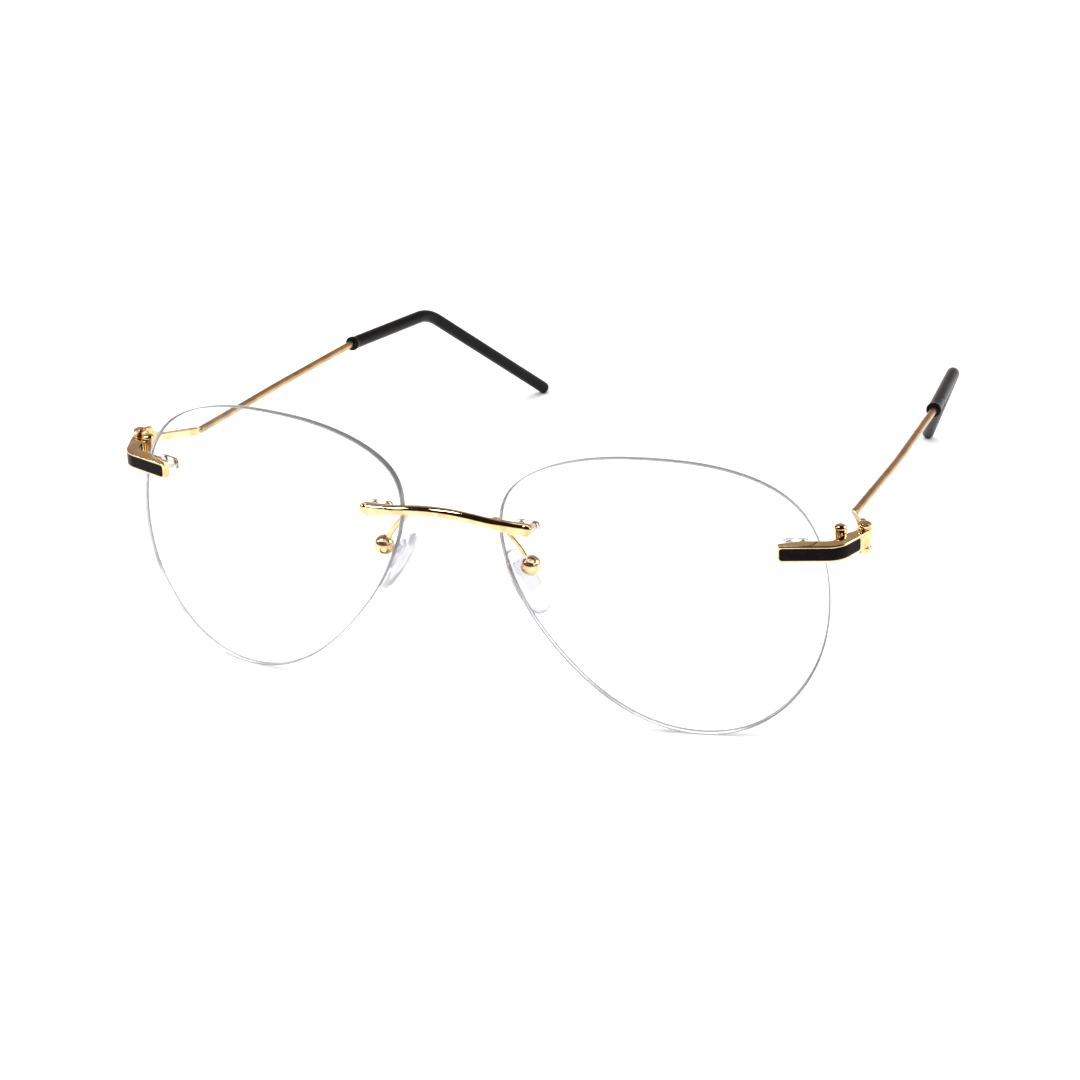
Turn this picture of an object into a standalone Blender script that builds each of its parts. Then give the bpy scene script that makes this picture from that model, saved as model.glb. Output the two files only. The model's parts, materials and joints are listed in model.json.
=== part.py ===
"""Rimless eyeglasses, built as the separate pieces that an optician would lay out on a bench.

Two drilled lenses are held by a gold bridge and two gold end pieces, whose twin posts sit in
clear sleeves pressed into the lens from behind. A screwed hinge joins each end piece to a wire
temple with a black silicone tip, and a pad arm on the bridge carries a rocking nose pad.

Frame: +X is the wearer's left, +Y runs back along the temples, +Z is up. The glasses stand on
the lens bottoms and the temple tips at z = 0. Only the left side is modelled: every right-hand
piece is its mirror image. All dimensions below are in millimetres.
"""
import math

import bmesh
import bpy
import numpy as np
from mathutils import Matrix, Vector

MM = 0.001

# Lens: a spherical shell cut to an aviator outline, turned back at the temple side.
LENS_OUTLINE = (
    (27.5, 0.0), (22.1, 17.3), (9.5, 23.5), (-2.1, 24.5), (-16.0, 22.8), (-26.2, 16.4),
    (-24.7, 0.0), (-17.5, -10.9), (-10.4, -18.0), (0.0, -23.6), (14.3, -23.0), (25.0, -11.7),
)
LENS_RADIUS = 130.0
LENS_THICKNESS = 1.8
LENS_OFFSET = 36.5
LENS_WRAP = math.radians(9.4)
LENS_RINGS = 4
LENS_RIM_POINTS = 60

# Twin-post mounts: place on the lens, post spacing and the fits of post, sleeve and hole.
BRIDGE_MOUNT_U = -23.15
END_MOUNT_U = 21.9
POST_SPACING = 2.2
POST_RADIUS = 0.37
POST_SHOULDER = 0.75
SLEEVE_BORE = 0.42
SLEEVE_RADIUS = 0.70
HOLE_RADIUS = 0.75
SLEEVE_PLATE = (4.4, 0.6, 2.0)
POST_STICK_OUT = 0.45
POST_HEAD_RADII = (0.62, 0.4)
BRIDGE_POST_REACH = 2.0
END_POST_REACH = 1.8
GAP = 0.05
PLATE_GAP = 0.12

# Bridge: a tapered bar arched forwards and upwards over the nose.
BRIDGE_HALF_SPAN = 15.5
BRIDGE_END_Y = -3.1
BRIDGE_ARCH = 2.1
BRIDGE_ARCH_SPAN = 14.0
BRIDGE_TOP_Z = 38.1
BRIDGE_FALL = (1.7, 0.36)
BRIDGE_RADIUS = 0.85
BRIDGE_END_RADIUS = 0.98
BRIDGE_SWELL_X = (8.0, 11.0)
BRIDGE_NOSE_LENGTH = 1.1
BRIDGE_NOSE_ROUNDING = 0.78
BRIDGE_STATIONS = 22
BRIDGE_POST_X = 13.2
BRIDGE_POST_DROP = 0.8

# End piece: a flat bar along the lens front that turns back to the hinge.
END_Z = 35.25
END_HEIGHT = 2.8
END_DEPTH = 2.4
END_PATH = ((55.3, 3.25), (64.25, 6.4), (66.5, 12.8))
END_CORNER_RADIUS = 3.4
END_TAPER = 0.9
END_TAPER_LENGTH = 4.0
END_RELIEF = 0.4
END_RELIEF_LENGTH = 2.0
END_STATIONS = 18
INLAY_HEIGHT = 2.1
INLAY_DEPTH = 0.3
INLAY_START = 0.25
INLAY_STOP = 14.2
LUG_XY = (63.45, 11.1)
LUG_RADIUS = 1.05
LUG_TOP = 38.0

# Hinge: the end piece holds the middle knuckle, the temple holds the outer two.
HINGE_XY = (66.7, 13.8)
KNUCKLE_RADIUS = 1.2
KNUCKLE_STEP = 0.03
LOWER_KNUCKLE_HEIGHT = 0.95
UPPER_KNUCKLE_HEIGHT = 0.55
HINGE_BORE = 0.5
SCREW_RADIUS = 0.45
SCREW_HEAD_RADIUS = 0.95
SCREW_HEAD_HEIGHT = 0.25
WASHER_THICKNESS = 0.15
TEMPLE_NECK_TURN = math.radians(24.0)
TEMPLE_NECK_THICKNESS = 0.9

# Temple: wire radius, then the wire's path and the silicone tip's path behind the ear.
WIRE_RADIUS = 0.67
WIRE_BORE = 0.72
TIP_RADIUS = 1.25
WIRE_START = (61.3, 26.2, 33.4)
WIRE_MIDDLE = (60.9, 55.0, 31.7)
TIP_START = (59.5, 85.0, 30.1)
TIP_BEND = (56.0, 114.3, 27.2)
TIP_END = (43.3, 145.4, 1.236)
TIP_BEND_RADIUS = 11.0
WIRE_STOP = 0.72
TIP_STEP = 2.6

# Nose pad: place of its box, its long axis and the way it faces, and its own sizes.
PAD_BOX_AT = (13.4, 1.9, 27.8)
PAD_LENGTH_AXIS = (0.565, -0.04, -0.824)
PAD_FACE_AXIS = (-0.72, 0.48, -0.50)
PAD_BOX_RADIUS = 1.75
PAD_SLOT = 1.2
PAD_SIZE = (12.4, 7.2, 2.5)
PAD_CENTRE = (2.2, 0.0, 3.7)
PAD_PLATE = (5.5, 2.8, 0.5)
PAD_SCREW_RADIUS = 0.4
PAD_ARM_RADIUS = 0.5
PAD_ARM_X = 7.6
PAD_ARM_BENDS = ((7.8, -0.9, 36.1), (8.2, 1.4, 35.1), (9.7, 1.8, 33.1), (11.8, 2.0, 30.7))

# The depth of the whole object is centred on the root.
ROOT_Y = -70.28

GOLD = (0.83, 0.60, 0.30, 1.0)
WARM_GOLD = (0.72, 0.44, 0.20, 1.0)
BLACK = (0.01, 0.008, 0.009, 1.0)
CLEAR = (0.93, 0.95, 0.96, 1.0)


def vec(point):
    return Vector(point) * MM


def smooth_closed(points, count):
    """Sample a closed cubic spline through the points, by chord length."""
    pts = np.array(points)
    step = np.linalg.norm(np.roll(pts, -1, axis=0) - pts, axis=1)
    total = len(pts)
    matrix = np.zeros((total, total))
    slopes = (np.roll(pts, -1, axis=0) - pts) / step[:, None]
    for i in range(total):
        before = step[i - 1]
        matrix[i, i - 1] += before
        matrix[i, i] += 2.0 * (before + step[i])
        matrix[i, (i + 1) % total] += step[i]
    bend = np.linalg.solve(matrix, 6.0 * (slopes - np.roll(slopes, 1, axis=0)))
    starts = np.concatenate([[0.0], np.cumsum(step)])
    sampled = []
    for distance in np.linspace(0.0, starts[-1], count, endpoint=False):
        i = int(np.searchsorted(starts, distance, side="right")) - 1
        j = (i + 1) % total
        h = step[i]
        a = (starts[i + 1] - distance) / h
        b = 1.0 - a
        curve = ((a ** 3 - a) * bend[i] + (b ** 3 - b) * bend[j]) * h * h / 6.0
        sampled.append(a * pts[i] + b * pts[j] + curve)
    return sampled


LENS_EDGE = smooth_closed(LENS_OUTLINE, LENS_RIM_POINTS)
LENS_Z = -min(v for _, v in LENS_EDGE)


def sag(u, v):
    return LENS_RADIUS - math.sqrt(LENS_RADIUS ** 2 - u * u - v * v)


def lens_matrix():
    return Matrix.Translation(vec((LENS_OFFSET, 0.0, LENS_Z))) @ Matrix.Rotation(LENS_WRAP, 4, "Z")


def mount_matrix(u, z):
    """Frame on the lens front: X towards the temple, Y back through the lens, Z up."""
    v = z - LENS_Z
    back = Vector((-u, LENS_RADIUS - sag(u, v), -v)).normalized()
    across = back.cross(Vector((0.0, 0.0, 1.0))).normalized()
    up = across.cross(back)
    local = Matrix((across, back, up)).transposed().to_4x4()
    local.translation = vec((u, sag(u, v), v))
    return lens_matrix() @ local


def rounded_path(points, radius, steps=6):
    """A polyline whose inner corners are replaced by arcs of one radius."""
    pts = [Vector(p) for p in points]
    path = [pts[0]]
    for before, corner, after in zip(pts, pts[1:], pts[2:]):
        back = (before - corner).normalized()
        ahead = (after - corner).normalized()
        turn = math.pi - back.angle(ahead)
        tangent = radius * math.tan(turn / 2.0)
        centre = corner + (back + ahead).normalized() * radius / math.cos(turn / 2.0)
        start = corner + back * tangent - centre
        side = (corner + ahead * tangent - centre) - start * math.cos(turn)
        side *= radius / side.length
        for k in range(steps + 1):
            angle = turn * k / steps
            path.append(centre + start * math.cos(angle) + side * math.sin(angle))
    path.append(pts[-1])
    return path


def even_path(path, spacing):
    """Points at even spacing along a polyline, both ends kept."""
    lengths = [0.0]
    for a, b in zip(path, path[1:]):
        lengths.append(lengths[-1] + (b - a).length)
    count = max(2, round(lengths[-1] / spacing))
    points = []
    for k in range(count + 1):
        points.append(point_along(path, lengths[-1] * k / count)[0])
    return points


def point_along(path, distance):
    """The point and direction at a distance along a polyline."""
    for a, b in zip(path, path[1:]):
        length = (b - a).length
        if distance <= length or b is path[-1]:
            direction = (b - a).normalized()
            return a + direction * distance, direction
        distance -= length
    return path[-1], direction


class Workshop:
    """Holds the collections and the materials while the pieces are made."""

    def __init__(self):
        self.parts = self.collection("rimless_eyeglasses")
        self.cutters = self.collection("cutters")
        self.materials = {
            "gold": self.material("polished_gold", GOLD, 0.12, 1.0),
            "warm_gold": self.material("temple_gold", WARM_GOLD, 0.2, 1.0),
            "enamel": self.material("black_enamel", BLACK, 0.08, 0.0),
            "tip": self.material("black_silicone", BLACK, 0.4, 0.0),
            "lens": self.material("clear_lens", CLEAR, 0.02, 0.0),
            "sleeve": self.material("clear_sleeve", CLEAR, 0.1, 0.0),
            "pad": self.material("clear_silicone", CLEAR, 0.25, 0.0),
        }

    @staticmethod
    def collection(name):
        made = bpy.data.collections.new(name)
        bpy.context.scene.collection.children.link(made)
        return made

    @staticmethod
    def material(name, colour, roughness, metallic):
        made = bpy.data.materials.new(name)
        made.use_nodes = True
        shader = made.node_tree.nodes["Principled BSDF"]
        shader.inputs["Base Color"].default_value = colour
        shader.inputs["Roughness"].default_value = roughness
        shader.inputs["Metallic"].default_value = metallic
        made.diffuse_color = colour
        return made

    def piece(self, name, mesh, material):
        made = bpy.data.objects.new(name, mesh)
        mesh.materials.clear()
        mesh.materials.append(self.materials[material])
        self.parts.objects.link(made)
        return made

    def cutter(self, name, mesh):
        made = bpy.data.objects.new(name, mesh)
        self.cutters.objects.link(made)
        made.hide_render = True
        made.display_type = "WIRE"
        return made

    def empty(self, name, location, parent=None):
        made = bpy.data.objects.new(name, None)
        made.empty_display_size = 3.0 * MM
        made.location = vec(location)
        made.parent = parent
        self.parts.objects.link(made)
        return made


def mesh_from(name, build):
    """A new mesh filled by a function that works on a bmesh."""
    mesh = bpy.data.meshes.new(name)
    bm = bmesh.new()
    build(bm)
    bm.to_mesh(mesh)
    bm.free()
    return mesh


def rod_mesh(name, start, end, radius, segments=24, tip_radius=None):
    """A closed cylinder or cone between two points."""
    start, end = vec(start), vec(end)
    axis = end - start
    place = Matrix.Translation((start + end) / 2.0) @ axis.to_track_quat("Z", "Y").to_matrix().to_4x4()

    def build(bm):
        bmesh.ops.create_cone(
            bm, cap_ends=True, segments=segments, radius1=radius * MM,
            radius2=(radius if tip_radius is None else tip_radius) * MM,
            depth=axis.length, matrix=place)

    return mesh_from(name, build)


def box_mesh(name, low, high):
    low, high = vec(low), vec(high)
    size = high - low
    place = Matrix.Translation((low + high) / 2.0) @ Matrix.Diagonal((*size, 1.0))
    return mesh_from(name, lambda bm: bmesh.ops.create_cube(bm, size=1.0, matrix=place))


def curve_to_mesh(curve, name):
    """The welded mesh of a curve, which is then removed."""
    holder = bpy.data.objects.new(name, curve)
    bpy.context.scene.collection.objects.link(holder)
    evaluated = holder.evaluated_get(bpy.context.evaluated_depsgraph_get())
    mesh = bpy.data.meshes.new_from_object(evaluated)
    mesh.name = name
    bpy.data.objects.remove(holder)
    bpy.data.curves.remove(curve)
    bm = bmesh.new()
    bm.from_mesh(mesh)
    bmesh.ops.remove_doubles(bm, verts=bm.verts, dist=0.002 * MM)
    bmesh.ops.recalc_face_normals(bm, faces=bm.faces)
    bm.to_mesh(mesh)
    bm.free()
    return mesh


def tube_mesh(name, path, radius, radii=None, resolution=2):
    """A round tube with filled caps along a path, with an optional radius factor per point."""
    curve = bpy.data.curves.new(name, "CURVE")
    curve.dimensions = "3D"
    curve.bevel_depth = radius * MM
    curve.bevel_resolution = resolution
    curve.use_fill_caps = True
    spline = curve.splines.new("POLY")
    spline.points.add(len(path) - 1)
    for index, point in enumerate(path):
        spline.points[index].co = (*vec(point), 1.0)
        spline.points[index].radius = 1.0 if radii is None else radii[index]
    return curve_to_mesh(curve, name)


def plate_mesh(name, outline, thickness):
    """A flat closed outline, thickened evenly to both sides of its plane."""
    curve = bpy.data.curves.new(name, "CURVE")
    curve.dimensions = "2D"
    curve.fill_mode = "BOTH"
    curve.extrude = thickness / 2.0 * MM
    spline = curve.splines.new("POLY")
    spline.points.add(len(outline) - 1)
    for index, (x, y) in enumerate(outline):
        spline.points[index].co = (x * MM, y * MM, 0.0, 1.0)
    spline.use_cyclic_u = True
    return curve_to_mesh(curve, name)


def moved(mesh, matrix):
    mesh.transform(matrix)
    return mesh


def cut_with(piece, tool, operation="DIFFERENCE"):
    modifier = piece.modifiers.new(tool.name, "BOOLEAN")
    modifier.operation = operation
    modifier.solver = "EXACT"
    modifier.object = tool


def soften(piece, width, segments=2, angle=40.0):
    modifier = piece.modifiers.new("soft_edges", "BEVEL")
    modifier.width = width * MM
    modifier.segments = segments
    modifier.limit_method = "ANGLE"
    modifier.angle_limit = math.radians(angle)
    modifier.use_clamp_overlap = False


def round_shading(piece):
    piece.data.shade_smooth()
    piece.data.set_sharp_from_angle(angle=math.radians(35.0))


def make_lens(shop):
    """An open spherical skin of polar rings, made solid and drilled for both mounts."""

    def build(bm):
        centre = bm.verts.new((0.0, 0.0, 0.0))
        inner = None
        for ring in range(1, LENS_RINGS + 1):
            part = ring / LENS_RINGS
            edge = [bm.verts.new(vec((u * part, sag(u * part, v * part), v * part)))
                    for u, v in LENS_EDGE]
            for i, vert in enumerate(edge):
                after = (i + 1) % len(edge)
                if inner is None:
                    bm.faces.new((centre, edge[after], vert))
                else:
                    bm.faces.new((inner[i], inner[after], edge[after], vert))
            inner = edge
        bmesh.ops.recalc_face_normals(bm, faces=bm.faces)
        bm.faces.ensure_lookup_table()
        if bm.faces[0].normal.y > 0.0:
            bmesh.ops.reverse_faces(bm, faces=bm.faces)

    lens = shop.piece("lens_left", mesh_from("lens", build), "lens")
    lens.matrix_world = lens_matrix()
    round_shading(lens)
    solid = lens.modifiers.new("thickness", "SOLIDIFY")
    solid.thickness = LENS_THICKNESS * MM
    solid.offset = -1.0
    solid.use_even_offset = True
    for mount, u, z in (("bridge", BRIDGE_MOUNT_U, bridge_post_z()), ("end", END_MOUNT_U, END_Z)):
        for index, x in enumerate(post_places()):
            hole = rod_mesh("hole", (x, -1.5, 0.0), (x, LENS_THICKNESS + 1.5, 0.0), HOLE_RADIUS,
                            segments=20)
            cut_with(lens, shop.cutter(f"{mount}_hole_{index}", moved(hole, mount_matrix(u, z))))
    return lens


def post_places():
    return -POST_SPACING / 2.0, POST_SPACING / 2.0


def bridge_point(x):
    """The bridge's centre line: arched forwards by a parabola, and upwards by a flatter one."""
    arch = max(0.0, 1.0 - (x / BRIDGE_ARCH_SPAN) ** 2)
    t = (x / 10.0) ** 2
    fall, lift = BRIDGE_FALL
    return Vector((x, BRIDGE_END_Y - BRIDGE_ARCH * arch, BRIDGE_TOP_Z - fall * t + lift * t * t))


def bridge_post_z():
    return bridge_point(BRIDGE_POST_X).z - BRIDGE_POST_DROP


def add_posts(shop, piece, matrix, start, tag):
    """Two stepped posts: a shoulder up to the lens, then a thin post through it."""
    stop = LENS_THICKNESS + PLATE_GAP + SLEEVE_PLATE[1] + POST_STICK_OUT
    for index, x in enumerate(post_places()):
        shoulder = rod_mesh("shoulder", (x, start, 0.0), (x, -GAP, 0.0), POST_SHOULDER, segments=16)
        post = rod_mesh("post", (x, start + 0.1, 0.0), (x, stop, 0.0), POST_RADIUS, segments=12)
        head = rod_mesh("head", (x, stop - POST_STICK_OUT + GAP, 0.0), (x, stop, 0.0),
                        POST_HEAD_RADII[0], segments=12, tip_radius=POST_HEAD_RADII[1])
        for name, mesh in (("shoulder", shoulder), ("post", post), ("head", head)):
            tool = shop.cutter(f"{tag}_{name}_{index}", moved(mesh, matrix))
            cut_with(piece, tool, "UNION")


def mirror_matrix():
    return Matrix.Diagonal((-1.0, 1.0, 1.0, 1.0))


def make_bridge(shop):
    """A round bar that swells where it crosses the lenses and tapers at both ends."""
    swell_from, swell_to = BRIDGE_SWELL_X
    path = []
    radii = []
    for k in range(BRIDGE_STATIONS + 1):
        x = BRIDGE_HALF_SPAN * math.sin(math.pi * (k / BRIDGE_STATIONS - 0.5))
        path.append(bridge_point(x))
        swell = min(1.0, max(0.0, (abs(x) - swell_from) / (swell_to - swell_from)))
        radius = BRIDGE_RADIUS + (BRIDGE_END_RADIUS - BRIDGE_RADIUS) * swell
        nose = max(0.0, 1.0 - (BRIDGE_HALF_SPAN - abs(x)) / BRIDGE_NOSE_LENGTH)
        radii.append(radius * math.sqrt(1.0 - BRIDGE_NOSE_ROUNDING * nose ** 2))
    bridge = shop.piece("bridge", tube_mesh("bridge", path, 1.0, radii), "gold")
    round_shading(bridge)
    frame = mount_matrix(BRIDGE_MOUNT_U, bridge_post_z())
    add_posts(shop, bridge, frame, -BRIDGE_POST_REACH, "bridge_left")
    for tool in [t for t in shop.cutters.objects if t.name.startswith("bridge_left_")]:
        mesh = tool.data.copy()
        mesh.transform(mirror_matrix())
        mesh.flip_normals()
        twin = shop.cutter(tool.name.replace("left", "right"), mesh)
        cut_with(bridge, twin, "UNION")
    return bridge


def end_centre_line():
    return rounded_path([(x, y, 0.0) for x, y in END_PATH], END_CORNER_RADIUS, steps=7)


def bar_back(station):
    """Offset of the end piece's back face, which comes forward towards both of its ends."""
    part = min(1.0, station / END_TAPER_LENGTH)
    free_end = END_TAPER * (1.0 - part * part * (3.0 - 2.0 * part))
    hinge_end = END_RELIEF * max(0.0, 1.0 - (end_length() - station) / END_RELIEF_LENGTH)
    return free_end + hinge_end - END_DEPTH / 2.0


def strip_outline(near, far, start, stop):
    """The plan of a strip beside the end piece's centre line, from the offset that near gives
    at each station to the offset far at its front."""
    path = end_centre_line()
    front, back = [], []
    for k in range(END_STATIONS + 1):
        station = start + (stop - start) * k / END_STATIONS
        point, direction = point_along(path, station)
        outward = Vector((direction.y, -direction.x, 0.0))
        front.append((point + outward * far)[:2])
        back.append((point + outward * near(station))[:2])
    return front + back[::-1]


def end_length():
    path = end_centre_line()
    return sum((b - a).length for a, b in zip(path, path[1:]))


def lifted(mesh, z):
    return moved(mesh, Matrix.Translation(vec((0.0, 0.0, z))))


def make_end_piece(shop):
    """The bar with its grooved front, its two posts and the middle hinge knuckle."""
    half = END_DEPTH / 2.0
    plan = strip_outline(bar_back, half, 0.0, end_length())
    bar = lifted(plate_mesh("end_piece", plan, END_HEIGHT), END_Z)
    end = shop.piece("end_piece_left", bar, "gold")
    soften(end, 0.18)
    x, y = HINGE_XY
    reach = END_HEIGHT / 2.0 + KNUCKLE_STEP
    low, high = END_Z - reach, END_Z + reach
    knuckle = rod_mesh("knuckle", (x, y, low), (x, y, high), KNUCKLE_RADIUS)
    cut_with(end, shop.cutter("middle_knuckle", knuckle), "UNION")
    add_posts(shop, end, mount_matrix(END_MOUNT_U, END_Z), -END_POST_REACH, "end_left")
    bottom = half - INLAY_DEPTH - GAP
    groove = strip_outline(lambda station: bottom, half + 1.0, INLAY_START, INLAY_STOP)
    groove = lifted(plate_mesh("groove", groove, INLAY_HEIGHT), END_Z)
    cut_with(end, shop.cutter("inlay_groove", groove))
    bore = rod_mesh("bore", (x, y, low - 1.0), (x, y, high + 1.0), HINGE_BORE)
    cut_with(end, shop.cutter("knuckle_bore", bore))
    return end


def make_inlay(shop):
    """The black enamel strip, which lies in the groove around the corner."""
    half = END_DEPTH / 2.0
    bottom = half - INLAY_DEPTH
    outline = strip_outline(lambda station: bottom, half, INLAY_START + GAP, INLAY_STOP - GAP)
    mesh = lifted(plate_mesh("inlay", outline, INLAY_HEIGHT - 2.0 * GAP), END_Z)
    return shop.piece("end_piece_inlay_left", mesh, "enamel")


def make_lug(shop):
    """The round-topped lug soldered inside the end piece's corner."""
    x, y = LUG_XY
    low = END_Z - END_HEIGHT / 2.0
    lug = shop.piece("end_piece_lug_left",
                     rod_mesh("lug", (x, y, low), (x, y, LUG_TOP), LUG_RADIUS, segments=16), "gold")
    soften(lug, 0.35)
    round_shading(lug)
    return lug


def make_sleeve(shop, name, u, z):
    """The clear twin sleeve: a plate behind the lens and two barrels in its holes."""
    width, depth, height = SLEEVE_PLATE
    back = LENS_THICKNESS + PLATE_GAP
    plate = box_mesh(name, (-width / 2.0, back, -height / 2.0),
                     (width / 2.0, back + depth, height / 2.0))
    sleeve = shop.piece(name, plate, "sleeve")
    frame = mount_matrix(u, z)
    plate.transform(frame)
    soften(sleeve, 0.25)
    for index, x in enumerate(post_places()):
        barrel = rod_mesh("barrel", (x, 0.1, 0.0), (x, back + 0.2, 0.0), SLEEVE_RADIUS,
                          segments=20)
        cut_with(sleeve, shop.cutter(f"{name}_barrel_{index}", moved(barrel, frame)), "UNION")
    for index, x in enumerate(post_places()):
        bore = rod_mesh("bore", (x, -0.5, 0.0), (x, back + 1.5, 0.0), SLEEVE_BORE, segments=12)
        cut_with(sleeve, shop.cutter(f"{name}_bore_{index}", moved(bore, frame)))
    return sleeve


def knuckle_levels():
    """Bottom and top of the temple's lower knuckle and of its upper one."""
    play = WASHER_THICKNESS + 2.0 * GAP + KNUCKLE_STEP
    low = END_Z - END_HEIGHT / 2.0 - play
    high = END_Z + END_HEIGHT / 2.0 + play
    return (low - LOWER_KNUCKLE_HEIGHT, low), (high, high + UPPER_KNUCKLE_HEIGHT)


def make_hinge_hardware(shop):
    """The slotted hinge screw and the two thin washers between the knuckles."""
    x, y = HINGE_XY
    (bottom, low), (high, top) = knuckle_levels()
    shank = rod_mesh("screw", (x, y, bottom - 0.1), (x, y, top + GAP + 0.1), SCREW_RADIUS)
    screw = shop.piece("hinge_screw_left", shank, "gold")
    round_shading(screw)
    head_low = top + GAP
    head = rod_mesh("head", (x, y, head_low), (x, y, head_low + SCREW_HEAD_HEIGHT),
                    SCREW_HEAD_RADIUS, tip_radius=SCREW_HEAD_RADIUS - 0.15)
    cut_with(screw, shop.cutter("hinge_screw_head", head), "UNION")
    slot_low = head_low + SCREW_HEAD_HEIGHT - 0.17
    slot = box_mesh("slot", (x - 2.0, y - 0.12, slot_low), (x + 2.0, y + 0.12, slot_low + 1.0))
    cut_with(screw, shop.cutter("hinge_screw_slot", slot))
    hole = shop.cutter("washer_hole", rod_mesh("hole", (x, y, bottom), (x, y, top), HINGE_BORE))
    made = [screw]
    for name, level in (("lower", low + GAP), ("upper", high - GAP - WASHER_THICKNESS)):
        ring = rod_mesh("washer", (x, y, level), (x, y, level + WASHER_THICKNESS), 1.1)
        washer = shop.piece(f"hinge_washer_{name}_left", ring, "gold")
        cut_with(washer, hole)
        made.append(washer)
    return made


def make_temple_hinge(shop):
    """The temple's fork: two knuckles on a web that tapers down to a flat neck."""
    x, y = HINGE_XY
    (bottom, low), (high, top) = knuckle_levels()
    reach = KNUCKLE_RADIUS + 0.25
    length = math.hypot(WIRE_START[0] - x, WIRE_START[1] - y) - 0.35
    end_low, end_high = WIRE_START[2] - 0.7, WIRE_START[2] + 0.85
    outline = [
        (reach, bottom), (2.2, bottom + 0.15), (2.9, 33.5), (4.4, 34.15), (length, end_low),
        (length, end_high), (5.0, 35.5), (3.6, 35.95), (2.9, 36.6), (2.3, top), (reach, top),
    ]
    web = plate_mesh("temple_hinge", outline, TEMPLE_NECK_THICKNESS)
    stand = Matrix(((1, 0, 0, 0), (0, 0, 1, 0), (0, 1, 0, 0), (0, 0, 0, 1)))
    turn = Matrix.Rotation(math.pi / 2.0 + TEMPLE_NECK_TURN, 4, "Z")
    place = Matrix.Translation(vec((x, y, 0.0))) @ turn
    web.transform(place @ stand)
    web.flip_normals()
    fork = shop.piece("temple_hinge_left", web, "gold")
    soften(fork, 0.15)
    for name, z0, z1 in (("lower", bottom, low), ("upper", high, top)):
        knuckle = rod_mesh("knuckle", (x, y, z0), (x, y, z1), KNUCKLE_RADIUS)
        cut_with(fork, shop.cutter(f"fork_knuckle_{name}", knuckle), "UNION")
        link = box_mesh("link", (0.6, -0.42, z0 + 0.05), (reach + 0.5, 0.42, z1 - 0.05))
        cut_with(fork, shop.cutter(f"fork_link_{name}", moved(link, place)), "UNION")
    bore = rod_mesh("bore", (x, y, bottom - 1.0), (x, y, top + 1.0), HINGE_BORE)
    cut_with(fork, shop.cutter("fork_bore", bore))
    return fork


def temple_path():
    return rounded_path([WIRE_START, WIRE_MIDDLE, TIP_START], 120.0, steps=4)


def tip_path():
    return rounded_path([TIP_START, TIP_BEND, TIP_END], TIP_BEND_RADIUS, steps=5)


def wire_route():
    """The wire from the hinge to its end inside the silicone tip."""
    tip = even_path(tip_path(), TIP_STEP)
    kept = tip[:int(len(tip) * WIRE_STOP)]
    return even_path(temple_path(), 9.0)[:-1] + kept


def make_temple_wire(shop):
    wire = shop.piece("temple_wire_left", tube_mesh("wire", wire_route(), WIRE_RADIUS), "warm_gold")
    round_shading(wire)
    return wire


def make_temple_tip(shop):
    """The silicone tip: a round-ended tube with a bore for the wire and a lipped mouth."""
    path = even_path(tip_path(), TIP_STEP)
    direction = (path[-1] - path[-2]).normalized()
    radii = [1.12, 1.02] + [1.0] * (len(path) - 2)
    for angle in (30.0, 55.0, 75.0):
        turn = math.radians(angle)
        path.append(Vector(TIP_END) + direction * TIP_RADIUS * math.sin(turn))
        radii.append(math.cos(turn))
    tip = shop.piece("temple_tip_left", tube_mesh("tip", path, TIP_RADIUS, radii), "tip")
    round_shading(tip)
    route = wire_route()
    ahead = (route[-1] - route[-2]).normalized()
    first = len(route) - int(len(even_path(tip_path(), TIP_STEP)) * WIRE_STOP)
    bore_path = [route[first] - Vector((0.0, 1.5, 0.0))] + route[first:] + [route[-1] + ahead * 0.3]
    bore = shop.cutter("tip_bore", tube_mesh("bore", bore_path, WIRE_BORE))
    cut_with(tip, bore)
    return tip


def pad_matrix():
    """Frame at the pad box: X along the pad, Y across it, Z towards the nose."""
    facing = Vector(PAD_FACE_AXIS).normalized()
    along = Vector(PAD_LENGTH_AXIS)
    along = (along - facing * along.dot(facing)).normalized()
    across = facing.cross(along)
    matrix = Matrix((along, across, facing)).transposed().to_4x4()
    matrix.translation = vec(PAD_BOX_AT)
    return matrix


def make_pad_arm(shop):
    """The thin arm from the bridge, around the lens edge, to the pad box."""
    lean = math.radians(45.0)
    root = bridge_point(PAD_ARM_X) + Vector((0.0, math.sin(lean), -math.cos(lean))) * (1.05 + GAP)
    box = Vector(PAD_BOX_AT)
    last = box + (Vector(PAD_ARM_BENDS[-1]) - box).normalized() * (PAD_BOX_RADIUS + GAP)
    path = even_path(rounded_path([root, *PAD_ARM_BENDS, last], 0.9, steps=3), 0.8)
    arm = shop.piece("pad_arm_left", tube_mesh("pad_arm", path, PAD_ARM_RADIUS), "gold")
    round_shading(arm)
    return arm


def make_pad_box(shop):
    """The ball-shaped box, slotted for the pad's lug and bored for the pad screw."""
    frame = pad_matrix()
    ball = mesh_from("pad_box", lambda bm: bmesh.ops.create_uvsphere(
        bm, u_segments=20, v_segments=10, radius=PAD_BOX_RADIUS * MM))
    box = shop.piece("pad_box_left", moved(ball, frame), "gold")
    round_shading(box)
    half = PAD_SLOT / 2.0
    slot = box_mesh("slot", (-3.0, -half, -0.85), (3.0, half, 3.0))
    bore = rod_mesh("bore", (0.0, -3.0, 0.0), (0.0, 3.0, 0.0), PAD_SCREW_RADIUS + GAP, segments=16)
    seat = rod_mesh("seat", (0.0, 1.05, 0.0), (0.0, 3.0, 0.0), 0.8, segments=20)
    for name, mesh in (("slot", slot), ("bore", bore), ("seat", seat)):
        cut_with(box, shop.cutter(f"pad_box_{name}", moved(mesh, frame)))
    return box


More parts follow.
